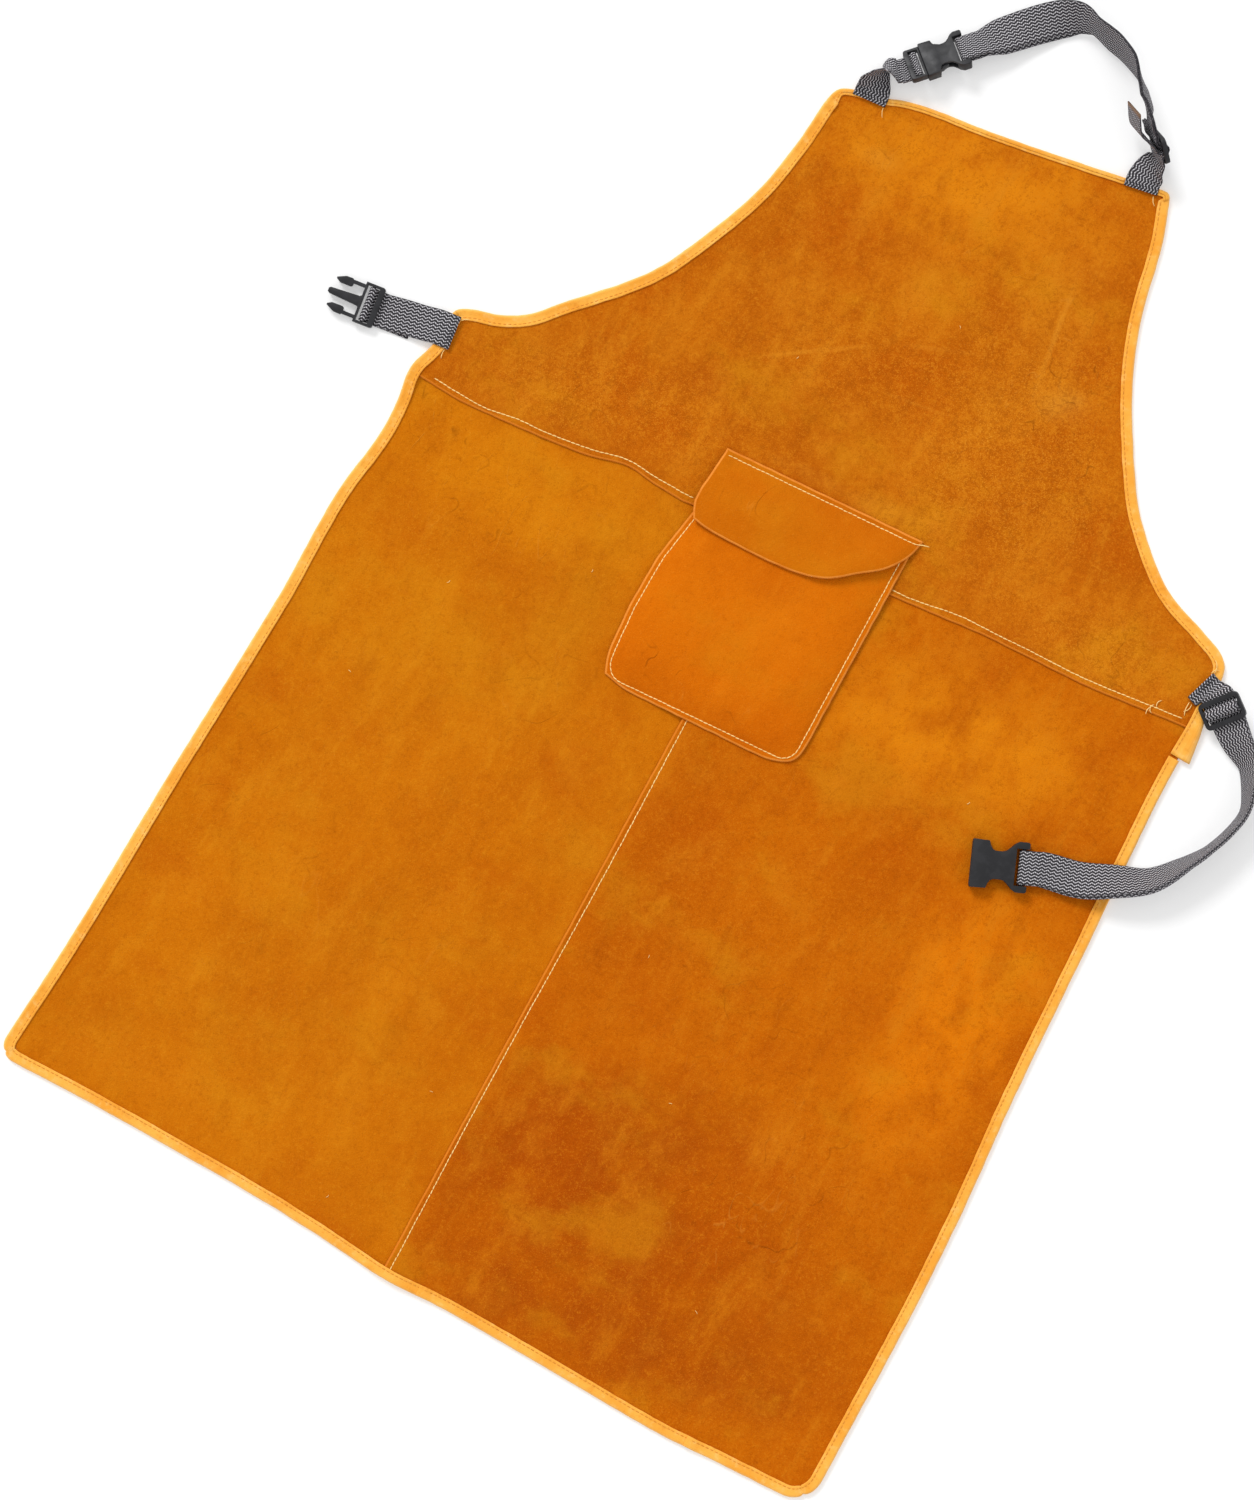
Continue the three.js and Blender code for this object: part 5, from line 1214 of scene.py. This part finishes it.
def frame_at(origin, heading, pitch, roll):
    heading, pitch = math.radians(heading), math.radians(pitch)
    flat = math.cos(pitch)
    along = Vector((math.cos(heading) * flat, math.sin(heading) * flat, math.sin(pitch)))
    across = turned_across(along, roll)
    face = along.cross(across)
    made = Matrix.Identity(4)
    for row in range(3):
        made[row][0], made[row][1], made[row][2], made[row][3] = (
            along[row], across[row], face[row], origin[row],
        )
    return made


def axis(placed, column):
    return Vector((placed[0][column], placed[1][column], placed[2][column]))


def station(point, across, width=WEB_WIDTH, held=False, along=None, roll=0.0):
    return {
        "point": Vector(point), "across": Vector(across), "width": width, "held": held,
        "along": along, "roll": roll,
    }


def local_path(placed, points, side, width=WEB_WIDTH):
    across = axis(placed, 1) * side
    made = []
    for spot in points:
        x, z, y = (*spot, 0)[:3]
        made.append(station(placed @ Vector((x, y, z)), across, width, True))
    return made


def arc(radius, start, end, count):
    angles = [math.radians(a) for a in np.linspace(start, end, count)]
    return [(radius * math.cos(a), radius * math.sin(a)) for a in angles]


def smooth_through(knots, share):
    """A point on the centripetal curve through the knots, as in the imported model."""
    place = share * (len(knots) - 1)
    i = min(len(knots) - 2, int(math.floor(place)))
    weight = place - i
    p1, p2 = knots[i], knots[i + 1]
    p0 = knots[i - 1] if i > 0 else p1 * 2 - p2
    p3 = knots[i + 2] if i + 2 < len(knots) else p2 * 2 - p1
    d0, d1, d2 = ((b - a).length ** 0.5 for a, b in ((p0, p1), (p1, p2), (p2, p3)))
    d1 = d1 if d1 > 1e-4 else 1.0
    d0 = d0 if d0 > 1e-4 else d1
    d2 = d2 if d2 > 1e-4 else d1
    t1 = ((p1 - p0) / d0 - (p2 - p0) / (d0 + d1) + (p2 - p1) / d1) * d1
    t2 = ((p2 - p1) / d1 - (p3 - p1) / (d1 + d2) + (p3 - p2) / d2) * d1
    s = weight
    return (
        p1 * (2 * s ** 3 - 3 * s ** 2 + 1) + t1 * (s ** 3 - 2 * s ** 2 + s)
        + p2 * (3 * s ** 2 - 2 * s ** 3) + t2 * (s ** 3 - s ** 2)
    )


def free_stretch(start, end, rows, count, start_lead=None, end_lead=None):
    chord = Vector((end["point"].x - start["point"].x, end["point"].y - start["point"].y, 0))
    aside = Vector((-chord.y, chord.x, 0))
    knots, rolls, widths = [start["point"]], [start["roll"]], [start["width"]]
    for along, out, high, roll in rows:
        base = Vector((start["point"].x, start["point"].y, 0)) + chord * along + aside * out
        knots.append(Vector((base.x, base.y, high * WEB_WIDTH)))
        rolls.append(roll)
        widths.append(WEB_WIDTH)
    knots.append(end["point"])
    rolls.append(end["roll"])
    widths.append(end["width"])
    if start_lead is not None:
        knots.insert(1, start["point"] + start_lead)
        rolls.insert(0, start["roll"])
        widths.insert(0, start["width"])
    if end_lead is not None:
        knots.insert(-1, end["point"] + end_lead)
        rolls.append(end["roll"])
        widths.append(end["width"])
    made = []
    for share in np.linspace(0, 1, count):
        place = share * (len(knots) - 1)
        i = min(len(knots) - 2, int(math.floor(place)))
        before = smooth_through(knots, max(0.0, share - 0.0001))
        after = smooth_through(knots, min(1.0, share + 0.0001))
        along = (after - before).normalized()
        roll = rolls[i] + (rolls[i + 1] - rolls[i]) * (place - i)
        width = widths[i] + (widths[i + 1] - widths[i]) * (place - i)
        made.append(station(
            smooth_through(knots, float(share)), turned_across(along, roll), width, False, along,
        ))
    return made


def ply_of(stretch, side, apart, shift):
    made = []
    for i, s in enumerate(stretch):
        share = i / (len(stretch) - 1)
        face = s["along"].cross(s["across"])
        point = s["point"] + face * (side * apart(share))
        point += s["across"] * (shift * math.sin(share ** 2 * math.pi))
        made.append(station(point, s["across"], s["width"]))
    return made


print("a frame:", [round(v, 2) for v in frame_at((0, 0, 0), 90, 0, 0).col[0]])

# %% [markdown]
# Webbing is woven in a zigzag: grey yarn with white and black yarns running through it. It is
# drawn from each point's place across and along the strap. The edges are rounded, and
# the strap bends in smooth curves between the stations.


# %% Webbing cloth
def webbing_dye():
    dye = Dye("zigzag webbing")
    place = dye.node("ShaderNodeAttribute", {"attribute_name": "weave"})[1]
    across, along, tip = dye.node("ShaderNodeSeparateXYZ", None, {0: place})
    where = dye.place()
    slow = dye.cloud(where, 60, 3, 0.55)
    yarn = dye.cloud(where, 1400, 3, 0.65)
    swing = (along + 400).zigzag(2.5)
    row = (across + 40 + swing * 0.64 + (slow - 0.5) * 0.5) / 2.55
    ridge = row.waves()
    picks = ((along + across * 0.3) / 1.55).waves()
    pale = ridge.ramp(0.72, 0.98) * (picks * 0.8 + 0.2)
    dark = (1 - ridge).ramp(0.40, 0.85) * (picks * -0.35 + 1.0)
    colour = dye.blend(slow.ramp(0.35, 0.65) * 0.5, paint(80, 77, 82), paint(66, 64, 68))
    colour = dye.blend(dark * 0.95, colour, paint(22, 21, 24))
    colour = dye.blend(pale * 0.95, colour, paint(246, 244, 248))
    colour = dye.blend(yarn.ramp(0.5, 0.8) * 0.22, colour, paint(150, 148, 152))
    colour = dye.blend((1 - yarn.ramp(0.2, 0.5)) * 0.40, colour, paint(40, 39, 43))
    side = across.maths("ABSOLUTE", across).ramp(11.8, 13.2)
    colour = dye.blend(side * 0.5, colour, paint(66, 64, 68))
    colour = dye.blend(tip.ramp(0.1, 0.9) * 0.75, colour, paint(122, 88, 58))
    height = ridge * 0.6 + picks * 0.35 + yarn * 0.4
    return dye.finish(
        Base_Color=colour, Roughness=0.85, Specular_IOR_Level=0.12,
        Normal=dye.bump(height, 0.0005, 0.8),
    )


zigzag_webbing = webbing_dye()
print("webbing ready")

# %% Weave a ribbon
HALF_SECTION = [  # share of the half width, share of the half thickness
    (1.0, -0.30), (0.975, -0.85), (0.93, -1.0), (0.55, -1.0), (0.18, -1.0), (-0.18, -1.0),
    (-0.55, -1.0), (-0.93, -1.0), (-0.975, -0.85), (-1.0, -0.30),
]
SECTION = HALF_SECTION + [(-w, -t) for w, t in HALF_SECTION]


def weave_ribbon(node, stations, step=2.0, tip=0.0):
    base = np.array([s["point"] for s in stations])
    across = np.array([s["across"] for s in stations])
    width = np.array([s["width"] for s in stations])
    held = np.array([1.0 if s["held"] else 0.0 for s in stations])
    for i in range(len(base)):
        if not held[i]:
            a, b = base[max(0, i - 1)], base[min(len(base) - 1, i + 1)]
            run = (b - a) / np.linalg.norm(b - a)
            across[i] -= run * (across[i] @ run)
            across[i] /= np.linalg.norm(across[i])
    length = np.r_[0, np.cumsum(np.linalg.norm(np.diff(base, axis=0), axis=1))]
    at = []
    for a, b in zip(length, length[1:]):
        parts = max(1, int(round((b - a) / step)))
        at.extend(a + (b - a) * k / parts for k in range(parts))
    at.append(length[-1])

    def through(values, spot):
        i = min(len(length) - 2, max(0, int(np.searchsorted(length, spot, side="right")) - 1))
        span = length[i + 1] - length[i]
        s = (spot - length[i]) / span

        def slope(k):
            lo, hi = max(0, k - 1), min(len(length) - 1, k + 1)
            return (values[hi] - values[lo]) / (length[hi] - length[lo])

        return (
            values[i] * (1 + 2 * s) * (1 - s) ** 2 + values[i + 1] * s * s * (3 - 2 * s)
            + slope(i) * span * s * (1 - s) ** 2 - slope(i + 1) * span * s * s * (1 - s)
        )

    spots = np.array([through(base, a) for a in at])
    sides = np.array([through(across, a) for a in at])
    wide = np.interp(at, length, width)
    points, weave = [], []
    for i, spot in enumerate(spots):
        run = spots[min(len(spots) - 1, i + 1)] - spots[max(0, i - 1)]
        run /= np.linalg.norm(run)
        side = sides[i] / np.linalg.norm(sides[i])
        face = np.cross(run, side)
        face /= np.linalg.norm(face)
        from_end = length[-1] - at[i]
        frayed = ease(1 - from_end / tip) if tip else 0.0
        for w, t in SECTION:
            wobble = 0.14 * noise.noise(Vector((at[i] / 4, w, 3.0))) if abs(w) > 0.9 else 0.0
            points.append(spot + side * (w * wide[i] / 2 + wobble) + face * (t * WEB / 2))
            weave.append((w * WEB_WIDTH / 2, at[i], frayed))
    size = len(SECTION)
    faces = []
    for i in range(len(spots) - 1):
        for j in range(size):
            k = (j + 1) % size
            faces.append((i * size + j, i * size + k, (i + 1) * size + k, (i + 1) * size + j))
    faces.append(tuple(reversed(range(size))))
    faces.append(tuple((len(spots) - 1) * size + j for j in range(size)))
    piece = make_mesh(node + "_webbing", points, faces, (zigzag_webbing,), (node,))
    write_weave(piece, weave)
    low, high = (np.array(v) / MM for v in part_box(node))
    own = np.array([tuple(v.co) for v in piece.data.vertices]) / MM
    print(node, "outside its solid's box by mm:", (low - own.min(0)).round(1), (own.max(0) - high).round(1))
    return piece


# %% [markdown]
# Each end of a strap is sewn over the tape. The webbing then passes the slider, runs out to
# the buckle's bar, turns, and comes back beside itself to the slider.

# %% Routes
PLUG_BAR_END, PLUG_RISE, BAR, SLIDER_THICK, SOCKET_BAR = -4.9, 0.6, 2.4, 3.5, 2.6
WAIST_SLOT, NECK_SLOT, BUCKLE_THICK = 28.6, 22.6, 9
inner_turn, outer_turn = BAR / 2 + HUG, BAR / 2 + HUG + PLY
slider_under, slider_reach = -SLIDER_THICK / 2 - HUG, 13
plug_top, plug_reach = -PLUG_RISE - HUG, 14
socket_turn, socket_reach = SOCKET_BAR / 2 + HUG + 0.5, 8
slider_load = [
    (-slider_reach, slider_under), (-6.7, slider_under), *arc(outer_turn, 165, 15, 6),
    (6.7, slider_under), (slider_reach, slider_under),
]
slider_return = [
    (slider_reach, slider_under - PLY), (6.1, slider_under - PLY), *arc(inner_turn, -20, 200, 7),
    (-2.35, slider_under), (-1.6, slider_under - 1.35 * PLY), (0.5, slider_under - 2 * PLY),
]


def plug_route(scale, back):
    end = PLUG_BAR_END * scale
    return [
        (-plug_reach, plug_top), (end + 0.4, plug_top), *arc(inner_turn, 160, -100, 8),
        (end, plug_top - PLY), (-back, plug_top - PLY),
    ]


def socket_route(side):
    return [
        (-socket_reach, side * socket_turn), (0, side * socket_turn),
        *arc(socket_turn, 60 * side, -60 * side, 5),
        (0, -side * socket_turn), (-socket_reach, -side * socket_turn),
    ]


def sewn_end(edge, heading, reach, cover, past):
    heading = math.radians(heading)
    out = np.array([math.cos(heading), math.sin(heading)])
    across = np.array([-out[1], out[0]])
    spots = [edge + out * a + across * b for a in (-reach, -cover, 0) for b in (-13.5, 0, 13.5)]
    cad_bib = Surface(*cad_arrays("bib"))
    high = max(cad_bib.height(*s) for s in spots) + HUG + GAP + TAPE
    return [
        station((*(edge + out * a), high), (*across, 0), WEB_WIDTH, True) for a in (-reach, past)
    ]


def doubled(node, end, slider, socket, rows, rolls, count, side, slot, peek, lead, tail, tip=0.0):
    width = min(WEB_WIDTH, slot - 2)
    load, back = local_path(slider, slider_load, side), local_path(slider, slider_return, side)
    start = station(slider @ Vector((slider_reach, 0, slider_under - PLY / 2)), (0, 1, 0))
    finish = station(socket @ Vector((-socket_reach, 0, 0)), (0, 1, 0), width)
    start["roll"], finish["roll"] = rolls
    stretch = free_stretch(start, finish, rows, count, axis(slider, 0) * lead, axis(socket, 0) * -8)
    stretch = stretch[1:-1]

    def apart(share):
        return PLY / 2 + (socket_turn - PLY / 2) * ease((share - 0.9) / 0.1)

    out = ply_of(stretch, side, apart, -peek / 2)
    home = ply_of(stretch, -side, apart, peek / 2)[::-1]
    turn = local_path(socket, socket_route(side), 1, width)
    return weave_ribbon(node, [*end, *load, *out, *turn, *home, *back, *tail], 2.0, tip)


waist_left_corner, waist_right_corner = CORNERS["waist_left"], CORNERS["waist_right"]
bib_left_corner, bib_right_corner = CORNERS["bib_left"], CORNERS["bib_right"]
plug_high = 0.1 + WEB / 2 - (plug_top - PLY)
waist_plug_frame = frame_at(
    (waist_left_corner[0] - 0.0922 * WAIST_WIDTH, 0.0247 * BIB_LENGTH, plug_high), 187, 0, 0,
)
end = sewn_end(edge_point("left_side", 0.026), 186, TAPE_COVER + 1, TAPE_COVER, 4)
route = local_path(waist_plug_frame, plug_route(1, WEB_WIDTH * 1.4), 1)
rows = [(0.30, 0.004, 0.155, 0), (0.62, -0.004, 0.095, 0)]
stretch = free_stretch(end[1], route[0], rows, 6)[1:-1]
waist_tab = weave_ribbon("waist_tab_left", [*end, *stretch, *route])
print("waist tab woven")

# %% The waist strap
WAIST_ROWS = [
    (0.016, 0.074, 0.450, 38), (0.022, 0.136, 0.490, 50), (0.040, 0.186, 0.530, 66),
    (0.094, 0.256, 0.550, 78), (0.162, 0.321, 0.553, 86), (0.253, 0.349, 0.553, 86),
    (0.373, 0.360, 0.553, 85), (0.477, 0.351, 0.550, 76), (0.635, 0.323, 0.500, 55),
    (0.756, 0.242, 0.510, 33), (0.874, 0.149, 0.300, 12),
]
waist_slider_frame = frame_at((
    waist_right_corner[0] + 0.019 * WAIST_WIDTH, waist_right_corner[1] - 0.090 * BIB_LENGTH,
    0.57 * WEB_WIDTH,
), -38, 0, 24)
waist_socket_frame = frame_at((
    waist_right_corner[0] - 0.098 * WAIST_WIDTH, -0.2042 * SKIRT_LENGTH,
    LEATHER + GAP + BUCKLE_THICK / 2,
), 202.5, 0, 0)
shares = np.linspace(0.85, 1, 1200)
target = waist_right_corner[1] - 0.075 * BIB_LENGTH
strap_edge = min((edge_point("right_side", a) for a in shares), key=lambda p: abs(p[1] - target))
waist_strap = doubled(
    "waist_strap_right", sewn_end(strap_edge, -18, TAPE_COVER + 6, TAPE_COVER, -6),
    waist_slider_frame, waist_socket_frame, WAIST_ROWS, (24, 0), 54, 1, WAIST_SLOT, 2.2, 3,
    local_path(waist_slider_frame, [(slider_reach, slider_under - 2 * PLY)], 1),
)

# %% The neck strap
NECK_ROWS = [
    (0.084, -0.126, 0.98, -112), (0.146, -0.208, 0.78, -104), (0.240, -0.290, 0.61, -80),
    (0.363, -0.340, 0.55, -68), (0.475, -0.368, 0.56, -74), (0.572, -0.376, 0.44, -45),
    (0.642, -0.342, 0.27, -20), (0.744, -0.260, 0.20, 0), (0.891, -0.113, 0.30, 12),
]
neck_scale = NECK_SLOT / WAIST_SLOT
neck_plug_spot = Vector((
    bib_left_corner[0] + 0.168 * BIB_TOP_WIDTH, bib_left_corner[1] + 0.119 * BIB_LENGTH, 11,
))
neck_plug_frame = frame_at(neck_plug_spot, 46.5, 0, -22)
neck_socket_frame = frame_at(neck_plug_spot + axis(neck_plug_frame, 0) * 46.9 * neck_scale, 226.5, 0, 22)
narrow = min(WEB_WIDTH, NECK_SLOT - 2)
tab_end = sewn_end(edge_point("bib_top", 0.905), 95, TOP_COVER + 0.5, TOP_COVER, 2)
tab_route = local_path(neck_plug_frame, plug_route(neck_scale, plug_reach), -1, narrow)
tab_finish = dict(tab_route[0], roll=158)
twist = [(0.30, 0.26, 0.36, 40), (0.58, 0.32, 0.53, 88), (0.84, 0.16, 0.48, 136)]
tab_stretch = free_stretch(tab_end[1], tab_finish, twist, 14)[1:-1]
neck_tab = weave_ribbon("neck_tab_left", [*tab_end, *tab_stretch, *tab_route])

neck_slider_frame = frame_at((
    bib_right_corner[0] - 0.102 * BIB_TOP_WIDTH, bib_right_corner[1] + 0.071 * BIB_LENGTH,
    0.80 * WEB_WIDTH,
), 137, 35, 94)
neck_end = sewn_end(edge_point("bib_top", 0.085), 100, TOP_COVER + 0.5, TOP_COVER, 2)
entry = dict(local_path(neck_slider_frame, slider_load[:1], -1)[0], roll=-60)
climb = free_stretch(neck_end[1], entry, [(0.45, 0.02, 0.27, -18)], 6)[1:-1]
neck_strap = doubled(
    "neck_strap", [*neck_end, *climb], neck_slider_frame, neck_socket_frame, NECK_ROWS, (-86, 22), 50,
    -1, NECK_SLOT, -3, 7,
    local_path(neck_slider_frame, [
        (5, -6.9, 0), (9, -9, -1), (13, -12, -2), (16.5, -13.6, -3.5), (21, -13, -5.5), (31, -10, -10),
    ], -1), tip=5,
)

# %% [markdown]
# The buckles and sliders are moulded from black-grey plastic with a satin, faintly pebbled
# face. A mould can't make a knife-sharp edge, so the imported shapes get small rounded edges.


# %% Plastic
def plastic_dye():
    dye = Dye("moulded plastic")
    where = dye.place()
    pebble = dye.cloud(where, 1500, 3, 0.6)
    slow = dye.cloud(where, 130, 3, 0.5)
    scuff = dye.cloud(where, 420, 4, 0.7, 1.2)
    colour = dye.blend(slow.ramp(0.4, 0.62), paint(36, 36, 39), paint(27, 27, 30))
    colour = dye.blend(scuff.ramp(0.6, 0.8) * 0.30, colour, paint(76, 76, 80))
    rough = slow.ramp(0.35, 0.7) * 0.14 + 0.40
    return dye.finish(
        Base_Color=colour, Roughness=rough, Specular_IOR_Level=0.32, Normal=dye.bump(pebble, 0.00012, 0.5),
    )


moulded = plastic_dye()
BUCKLES = ("waist_plug", "waist_socket", "waist_slider", "neck_plug", "neck_socket", "neck_slider")
for node in BUCKLES:
    shell = bmesh.new()
    shell.from_mesh(frame["nodes"][node].data)
    bmesh.ops.remove_doubles(shell, verts=shell.verts, dist=0.00001)
    bmesh.ops.dissolve_limit(shell, angle_limit=math.radians(2), verts=shell.verts, edges=shell.edges)
    sharp = [e for e in shell.edges if len(e.link_faces) == 2 and e.calc_face_angle(0) > math.radians(28)]
    bmesh.ops.bevel(
        shell, geom=sharp, offset=0.00045, segments=2, profile=0.6, affect="EDGES", clamp_overlap=True,
    )
    bmesh.ops.triangulate(shell, faces=[f for f in shell.faces if len(f.verts) > 4])
    mesh = bpy.data.meshes.new(node + "_plastic")
    shell.to_mesh(mesh)
    shell.free()
    mesh.materials.append(moulded)
    mesh.polygons.foreach_set("use_smooth", [True] * len(mesh.polygons))
    mesh.set_sharp_from_angle(angle=math.radians(32))
    piece = bpy.data.objects.new(node + "_plastic", mesh)
    bpy.context.scene.collection.objects.link(piece)
    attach(piece, "root")
    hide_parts(node)
    print(node, "faces:", len(mesh.polygons))

# %% [markdown]
# A sewn thing sheds. Thread ends stand up where a seam starts or a strap was caught, and a few
# pale specks of lint cling to the nap. They are thin tubes along short bent paths.

# %% Loose threads and lint


def tube(points, faces, path, radius, sides=6):
    """Adds a thin tube with pinched ends along a path of points."""
    path = np.array(path, float)
    start = len(points)
    for i, spot in enumerate(path):
        run = path[min(len(path) - 1, i + 1)] - path[max(0, i - 1)]
        run /= max(1e-9, np.linalg.norm(run))
        side = np.cross(run, (0.13, 0.2, 0.97))
        side /= max(1e-9, np.linalg.norm(side))
        over = np.cross(side, run)
        share = i / (len(path) - 1)
        thin = radius * (0.35 + 0.65 * min(1.0, 6 * share, 6 * (1 - share)))
        for j in range(sides):
            turn = math.tau * j / sides
            points.append(spot + side * thin * math.cos(turn) + over * thin * math.sin(turn))
    for i in range(len(path) - 1):
        for j in range(sides):
            k = (j + 1) % sides
            faces.append((start + i * sides + j, start + i * sides + k,
                          start + (i + 1) * sides + k, start + (i + 1) * sides + j))
    faces.append(tuple(start + j for j in reversed(range(sides))))
    faces.append(tuple(start + (len(path) - 1) * sides + j for j in range(sides)))


def bent(start, heading, length, bend, rise, count=14, seed=1):
    """A thread from a start point: heading and bend in degrees, rise in mm at its middle."""
    dice = random.Random(seed)
    spot, path = np.array(start, float), []
    angle = math.radians(heading)
    for i in range(count):
        share = i / (count - 1)
        path.append((spot[0], spot[1], start[2] + rise * math.sin(math.pi * share)))
        angle += math.radians(bend) / count + dice.uniform(-0.10, 0.10)
        spot[:2] += np.array([math.cos(angle), math.sin(angle)]) * length / (count - 1)
    return path


def on_top(spot, side, lift=0.35):
    return (spot[0], spot[1], side["top"].height(*spot) + lift)


def tail_of_thread(name, ends, thread=cream_thread):
    points, faces = [], []
    for path, radius in ends:
        tube(points, faces, path, radius)
    return make_mesh(name, points, faces, (thread,), ())


tail_of_thread("waist_seam_loop", [
    (bent(on_top((309, 27), bib), 200, 9, 150, 1.6, seed=2), 0.32),
    (bent(on_top((312, 26), bib), 150, 8, -120, 1.2, seed=3), 0.30),
    (bent(on_top((307, 24), bib), 250, 7, 60, 0.6, seed=4), 0.30),
])
tail_of_thread("flap_thread_end", [
    (bent(on_top((flap_left + FLAP_WIDTH - 4.5, FLAP_TOP + 3.6), flap), 20, 11, -36, 1.0, seed=5), 0.36),
])
strap_at = np.array(strap_edge)
over_tape = 5.2
tail_of_thread("waist_strap_threads", [
    (bent((strap_at[0] - 9, strap_at[1] + 17.5, over_tape), 75, 11, 70, 1.0, seed=6), 0.34),
    (bent((strap_at[0] - 11, strap_at[1] + 16.0, over_tape), 95, 8, -60, 0.8, seed=7), 0.30),
    (bent((strap_at[0] - 15, strap_at[1] - 10.5, over_tape), 255, 12, 50, 1.2, seed=8), 0.34),
    (bent((strap_at[0] - 13, strap_at[1] - 11.5, over_tape), 290, 9, -70, 0.9, seed=9), 0.30),
])
tab_at, neck_at, waist_at = (edge_point("bib_top", 0.905), edge_point("bib_top", 0.085),
                             edge_point("left_side", 0.026))
tail_of_thread("strap_end_threads", [
    (bent((tab_at[0] + 13.0, tab_at[1] - 5.0, 5.0), 270, 8, 40, 0.8, seed=10), 0.30),
    (bent((neck_at[0] - 13.5, neck_at[1] - 4.0, 5.0), 215, 7, -50, 0.8, seed=11), 0.30),
    (bent((neck_at[0] + 12.0, neck_at[1] - 5.0, 5.0), 280, 8, 60, 0.7, seed=12), 0.30),
    (bent((waist_at[0] + 9.0, waist_at[1] - 13.0, 5.0), 250, 8, 60, 0.9, seed=13), 0.30),
    (bent((waist_at[0] + 9.5, waist_at[1] + 12.0, 5.0), 60, 7, -50, 0.7, seed=14), 0.28),
])
LINT = (
    (-3, -380, 40, 4.5), (224, -553, 110, 3.6), (219, -109, 20, 3.2), (-36, -500, 150, 3.0),
    (60, -330, 70, 2.6), (-214, -150, 10, 3.4), (-246, -246, 120, 2.6), (-120, -90, 60, 2.8),
    (130, -420, 160, 3.0), (-70, -610, 30, 2.8), (40, 210, 90, 2.6), (-60, 130, 20, 2.4),
)
lint = []
for k, (x, y, heading, length) in enumerate(LINT):
    side = bib if y > waist_seam(x) else (skirt_right if x > 0 else skirt_left)
    lint.append((bent(on_top((x, y), side, 0.15), heading, length, 80, 0.4, 8, k), 0.20))
tail_of_thread("lint", lint)
print("loose threads and lint:", len(lint) + 13)

# %% [markdown]
# The webbing's ends are caught under a few rows of dark thread, sewn through the tape.

# %% Bar stitches on the strap ends


def bar_stitches(name, edge, heading, near, far):
    heading = math.radians(heading)
    out = np.array([math.cos(heading), math.sin(heading)])
    across = np.array([-out[1], out[0]])
    web_top = sewn_end(edge, math.degrees(heading), near, TAPE_COVER, far)[0]["point"].z + WEB / 2
    points, faces = [], []
    for reach in (near - 1.6, near - 3.6):
        for a in np.arange(-11.6, 11.7, 2.9):
            p, q = (edge - out * reach + across * (a + d) for d in (-1.15, 1.15))
            capsule(points, faces, (*p, web_top + 0.05), (*q, web_top + 0.05), (0, 0, 1), 0.36)
    return make_mesh(name, points, faces, (dark_thread,), ())


dark_thread = thread_dye("dark thread", paint(70, 68, 72), paint(44, 42, 46))
bar_stitches("waist_tab_stitches", edge_point("left_side", 0.026), 186, TAPE_COVER + 1, 4)
bar_stitches("waist_strap_stitches", strap_edge, -18, TAPE_COVER + 6, -6)
bar_stitches("neck_tab_stitches", tab_at, 95, TOP_COVER + 0.5, 2)
bar_stitches("neck_strap_stitches", neck_at, 100, TOP_COVER + 0.5, 2)
print("strap ends sewn")

# %% [markdown]
# The two lower corners are rounded where the tape turns them. A square of cloth at each corner
# is pressed into a quarter disc, and all that lies there goes with it.

# %% Round the hem corners


def round_corner(corner, first, second, radius):
    """Moves every point of the apron that lies in the corner's square; returns how many."""
    corner, first, second = (np.array(p) for p in (corner, first, second))
    sides = [(p - corner) / np.linalg.norm(p - corner) for p in (first, second)]
    basis = np.column_stack(sides)
    back = np.linalg.inv(basis)
    moved = 0
    for o in bpy.data.objects:
        if o.type != "MESH" or o is table or o.hide_render or not o.name.startswith(AT_THE_HEM):
            continue
        for vertex in o.data.vertices:
            share = back @ (np.array(vertex.co.xy) / MM - corner)
            off = radius - share
            if min(off) > 0:
                off *= max(off) / np.linalg.norm(off)
                vertex.co.xy = (corner + basis @ (radius - off)) * MM
                moved += 1
        o.data.update()
    return moved


AT_THE_HEM = ("skirt_left_", "skirt_right_", "binding_hem", "binding_side", "lint")
for name, first, second, radius in (
    ("hem_left", "waist_left", "hem_right", 15), ("hem_right", "hem_left", "waist_right", 22),
):
    moved = round_corner(CORNERS[name], CORNERS[first], CORNERS[second], radius)
    print("points moved at", name, "corner:", moved)

# %% [markdown]
# What lies on what: the skirts lie on the table, the bib on both of them, and so on upwards.
# Each sheet also carries its own seams.

# %% What lies on what
sheets = [
    (skirt_left, ["table"], [left_tape]),
    (skirt_right, [skirt_left["piece"]], [centre_seam]),
    (bib, [skirt_left["piece"], skirt_right["piece"]], [waist_left_seam, waist_right_seam]),
    (pocket, [bib["piece"]], [pocket_seam]),
    (flap, [pocket["piece"]], [flap_seam]),
]
for o in bpy.data.objects:
    if o.type == "MESH" and o.data.vertices and not o.hide_render:
        lowest = min(v.co.z for v in o.data.vertices) / MM
        if lowest < -0.05:
            print("below the table by mm:", o.name, round(lowest, 2))

# %% [markdown]
# For each panel of hide, the size it was cut to, its area, what it lies on and the seams it
# carries are worked out in turn.

# %% Panel sizes
for cut, under, with_it in sheets:
    wide, long = cut["flat"]
    wide * MM
    long * MM
    cut["area"] * MM * MM
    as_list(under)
    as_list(with_it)
